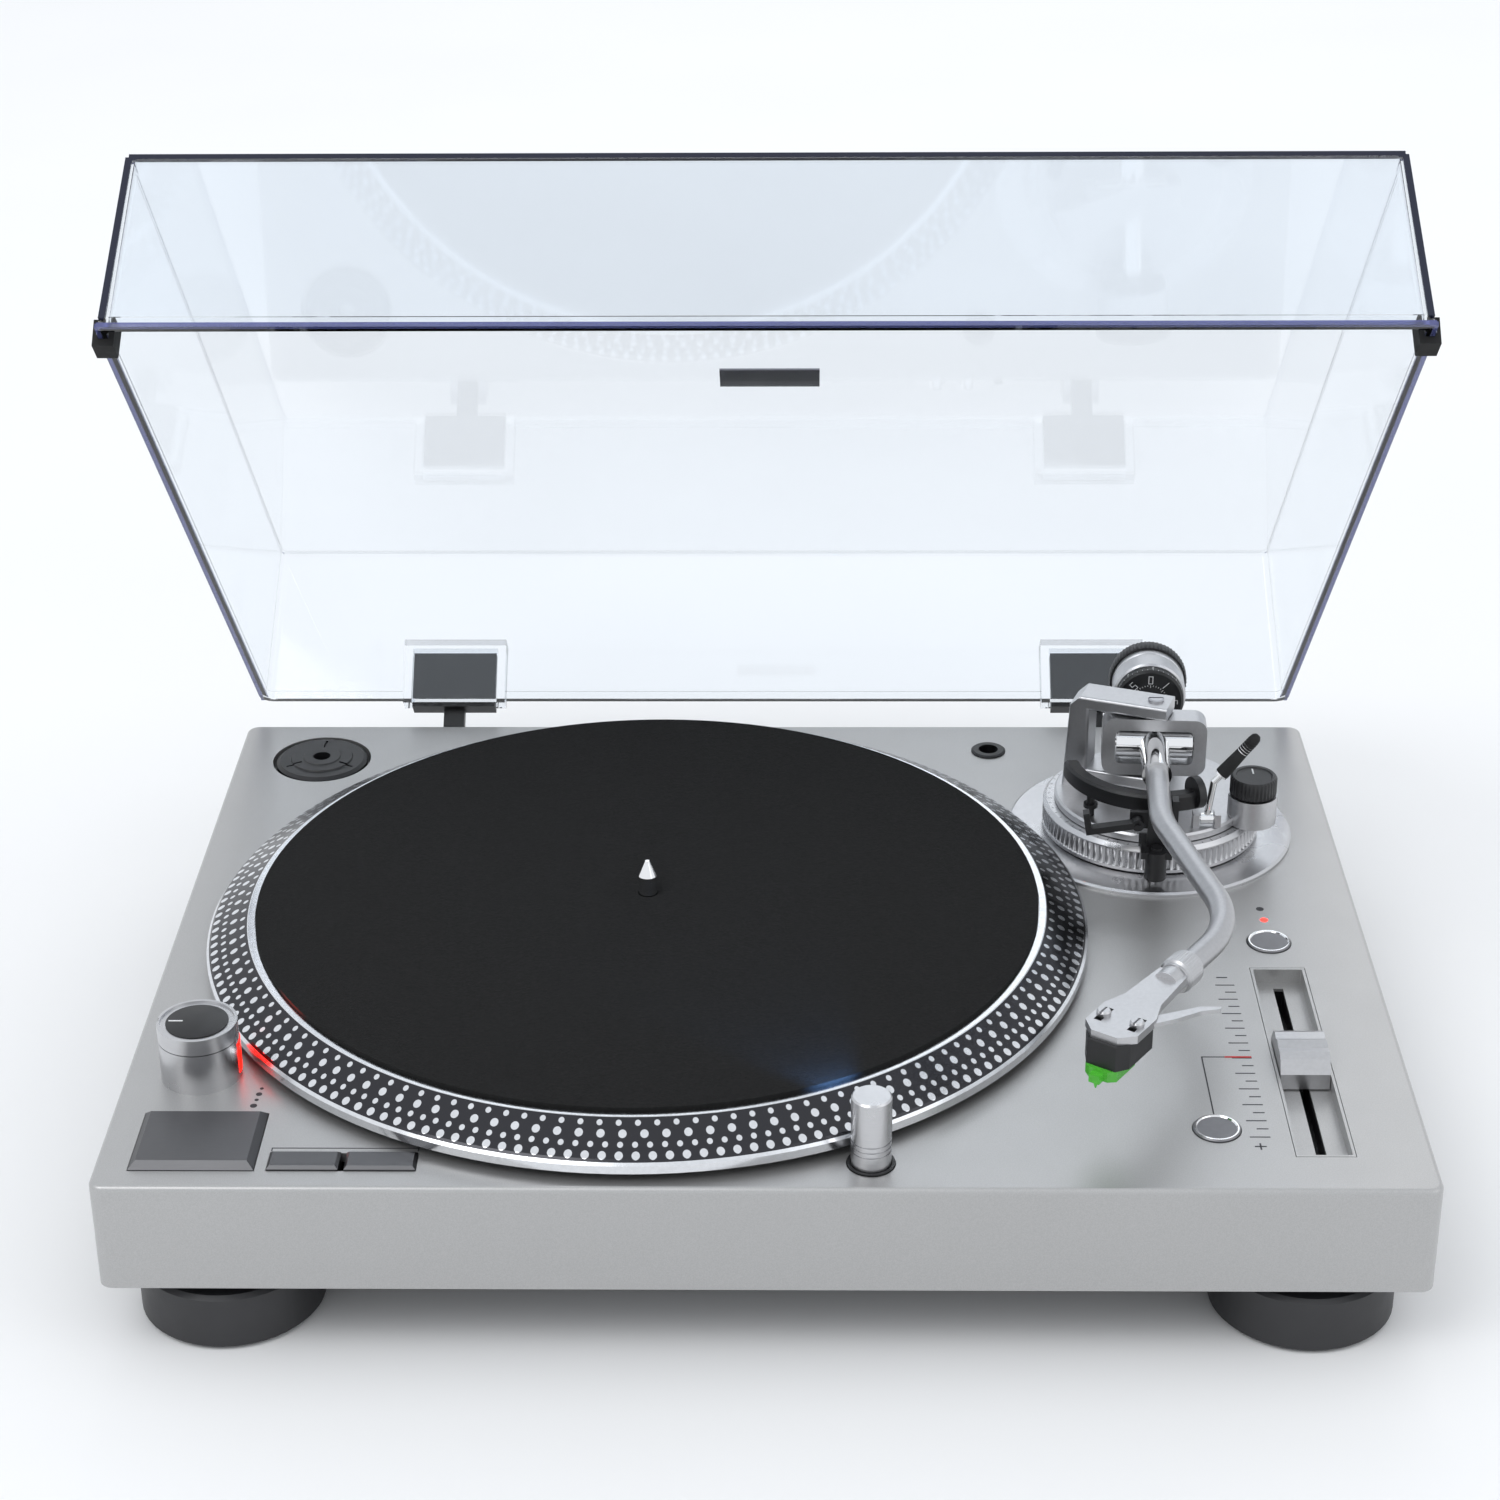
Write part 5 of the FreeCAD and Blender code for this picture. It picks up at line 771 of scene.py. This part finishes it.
def ring_flutes():
    """The height ring's fluted rim, and the marks on its upper edge."""
    low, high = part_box("height_ring")
    at = Vector((PIVOT.x, PIVOT.y, 0))
    foot, top, radius = low.z / MM, high.z / MM, (high.x - low.x) / 2 / MM
    profile = [
        (21.0, foot), (radius - 1, foot), (radius, foot + 1), (radius, foot + 2.2),
        (radius - 0.05, foot + 2.4), (radius - 0.05, top - 2.2), (radius, top - 2.0),
        (radius, top - 1.5), (radius - 1.5, top), (21.0, top), (21.0, foot),
    ]
    ripple = (foot + 2.3, top - 2.1, 96, 0.9, radius - 0.2)
    obj = lathe("height_ring_shown", profile, at, (0, 0, 1), "height_ring", "ring_alloy",
                576, ripple)
    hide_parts("height_ring")
    ticks = []
    for i in range(60):
        angle = math.radians(6 * i)
        inner = 39.4 if i % 5 == 0 else 40.2
        ends = []
        for r, a in ((inner, -0.0035), (41.2, -0.0035), (41.2, 0.0035), (inner, 0.0035)):
            ends.append((r * math.cos(angle + a), r * math.sin(angle + a)))
        ticks.append(ends)
    mesh = bmesh.new()
    for outline in ticks:
        flat = [mesh.verts.new(at + Vector((x * MM, y * MM, high.z + 0.03 * MM))) for x, y in outline]
        mesh.faces.new(flat)
    piece("height_ring_marks", mesh, "height_ring", "ink", smooth=False)


def button_rings():
    """The bright ring round each of the two round buttons."""
    for name in ("tempo_button", "quartz_button"):
        low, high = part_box(name)
        centre = middle(name)
        radius, top = (high.x - low.x) / 2 / MM, high.z / MM
        ring = [
            (radius - 1.45, top - 0.45), (radius - 1.05, top + 0.02), (radius - 0.55, top + 0.02),
            (radius - 0.05, top - 0.5), (radius - 0.05, top - 0.9), (radius - 1.45, top - 0.45),
        ]
        lathe(f"{name}_ring", ring, Vector((centre.x, centre.y, 0)), (0, 0, 1), name, "chrome")


def anti_skate():
    """The knurled knob, its dished top and a white mark on it."""
    centre = middle("anti_skate_knob")
    low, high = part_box("anti_skate_knob")
    at = Vector((centre.x, centre.y, 0))
    foot, top = low.z / MM + 7.0, high.z / MM
    knob = [
        (0, low.z / MM), (2, low.z / MM), (2, foot), (8.6, foot), (9.2, foot + 0.5), (9.2, top - 0.9),
        (8.4, top), (7.2, top), (6.8, top - 0.5), (0, top - 0.5),
    ]
    ripple = (foot + 0.3, top - 0.6, 36, 0.35, 9.0)
    obj = lathe("anti_skate_shown", knob, at, (0, 0, 1), "anti_skate_knob", "dark_plastic",
                144, ripple)
    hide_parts("anti_skate_knob")
    mark = plate("anti_skate_mark", oblong(-0.3, 2.0, 0.3, 6.2), top - 0.5, 0.08, "anti_skate_knob",
                 "white_ink", place=Matrix.Translation(at))


def power_top():
    """The knob's black sunken top with its pointer."""
    centre = middle("power_knob")
    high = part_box("power_knob")[1].z / MM
    at = Vector((centre.x, centre.y, 0))
    disc = [(0, high - 0.2), (10.6, high - 0.2), (11.0, high - 0.35), (11.0, high - 0.72), (0, high - 0.72)]
    lathe("power_knob_disc", disc, at, (0, 0, 1), "power_knob", "dark_plastic")
    plate("power_knob_pointer", oblong(-10.0, -0.35, -5.0, 0.35), high - 0.2, 0.06, "power_knob",
          "white_ink", Matrix.Translation(at))


def lever_grip():
    """The cue lever's black rubber grip, with three ribs near its end."""
    low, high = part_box("cue_lever")
    lean = math.radians(38)
    axis = Vector((math.sin(lean), 0, math.cos(lean)))
    tip = Vector((high.x - 2.0 * MM, (low.y + high.y) / 2, high.z - 2.0 * MM))
    length = 19.5
    start = tip - axis * (length * MM)
    grip = [(1.4, 0), (2.75, 0.3), (2.8, 1.2)]
    for i in range(6):
        at = 12.0 + i * 1.1
        grip += [(2.35, at), (2.1, at + 0.3), (2.35, at + 0.6)]
    grip += [(2.2, length - 0.4), (2.0, length + 0.8), (1.2, length + 1.8), (0, length + 2.05)]
    lathe("cue_lever_grip", grip, start, axis, "cue_lever", "rubber", 64)


def nut_knurl():
    """The headshell nut's knurled waist."""
    low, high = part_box("headshell_nut")
    centre = (low + high) / 2
    turn = math.radians(-34.2)
    axis = Vector((math.sin(turn), -math.cos(turn), 0))
    knurled_band("headshell_nut_grip", 6.55, -4.0, 4.0, Vector((centre.x, centre.y, PIVOT.z)), axis,
                 "arm", "silver_alloy", 40, 0.3)


def lamp_glow():
    """The lit slit of the target light."""
    low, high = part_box("target_light")
    centre = (low + high) / 2
    angle = math.radians(100)
    place = Matrix.Translation((centre.x, centre.y, high.z)) @ Matrix.Rotation(angle, 4, "Z")
    plate("target_light_bulb", oblong(4.95, -2.6, 5.6, 2.6), -7.8, 4.6, "target_light", "lamp",
          place, 0.15)


# ---------------------------------------------------------------------------
# Floor, lights and camera
# ---------------------------------------------------------------------------


def glow(name, place, colour, power):
    """The small light that a lamp throws on the platter's rim."""
    data = bpy.data.lights.new(name, "SPOT")
    data.shadow_soft_size = 0.003
    data.spot_size = math.radians(62)
    data.spot_blend = 0.6
    data.color = colour
    data.energy = power
    lamp = bpy.data.objects.new(name, data)
    bpy.context.collection.objects.link(lamp)
    lamp.location = place
    target = Vector((SPINDLE.x, SPINDLE.y, TOP + 8 * MM))
    lamp.rotation_euler = (target - place).to_track_quat("-Z", "Y").to_euler()


def studio():
    """A pale floor, soft lights, and the glow of the two lamps by the platter."""
    bpy.ops.mesh.primitive_plane_add(size=14, location=(0, 0, -0.0002))
    floor = bpy.context.object
    floor.name = "floor"
    made = Nodes("floor").set(Roughness=0.75)
    made.colour(made.ramp(made.noise(3, 2), (0.3, 0.86), (0.7, 0.88)))
    floor.data.materials.append(made.material)
    world = bpy.data.worlds.new("studio")
    world.use_nodes = True
    world.node_tree.nodes["Background"].inputs["Color"].default_value = (0.93, 0.96, 1.0, 1)
    world.node_tree.nodes["Background"].inputs["Strength"].default_value = 1.0
    bpy.context.scene.world = world
    lights = [
        ("key", (-1.2, -1.3, 2.3), 1.4, 17),
        ("fill", (1.8, -1.0, 1.5), 1.6, 5),
        ("back", (0.3, 1.9, 1.7), 1.6, 5),
    ]
    for name, place, size, power in lights:
        data = bpy.data.lights.new(name, "AREA")
        data.size = size
        data.energy = power
        lamp = bpy.data.objects.new(name, data)
        bpy.context.collection.objects.link(lamp)
        lamp.location = place
        lamp.rotation_euler = (Vector((0, 0, 0.1)) - Vector(place)).to_track_quat("-Z", "Y").to_euler()
    low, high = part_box("target_light")
    lamp_at = Vector(((low.x + high.x) / 2, (low.y + high.y) / 2, high.z - 6 * MM))
    towards = (Vector((SPINDLE.x, SPINDLE.y, lamp_at.z)) - lamp_at).normalized()
    glow("lamp_glow", lamp_at + towards * (9 * MM), (0.2, 0.45, 1.0), 0.22)
    centre = middle("strobe_tower")
    towards = (Vector((SPINDLE.x, SPINDLE.y, centre.z)) - centre).normalized()
    at = Vector((centre.x, centre.y, TOP + 13 * MM)) + towards * (15.5 * MM)
    glow("strobe_glow", at, (1.0, 0.05, 0.02), 0.16)
    scene = bpy.context.scene
    scene.view_settings.view_transform = "Standard"
    scene.view_settings.exposure = 0.0


def camera():
    """A long lens in front of the player and above it, with the photograph's slight roll."""
    yaw, pitch, roll = -0.0184, 0.4689, -0.0079
    forward = Vector((math.sin(yaw) * math.cos(pitch), math.cos(yaw) * math.cos(pitch), -math.sin(pitch)))
    right = forward.cross(Vector((0, 0, 1))).normalized()
    up = right.cross(forward)
    across = right * math.cos(roll) + up * math.sin(roll)
    above = up * math.cos(roll) - right * math.sin(roll)
    data = bpy.data.cameras.new("camera")
    data.sensor_width = 36
    data.lens = 75.1
    data.clip_start = 0.05
    cam = bpy.data.objects.new("camera", data)
    bpy.context.collection.objects.link(cam)
    axes = Matrix((across, above, -forward)).transposed()
    place = Vector((0.01243, CASE.y - 1.03367, TOP + 0.59964))
    cam.matrix_world = Matrix.Translation(place) @ axes.to_4x4()
    bpy.context.scene.camera = cam


studio()
camera()
finish_nodes()
cover_edges()
pitch_scale()
top_marks()
arm_weights()
anti_skate()
power_top()
dial_face()
ring_flutes()
button_rings()
lever_grip()
nut_knurl()
lamp_glow()
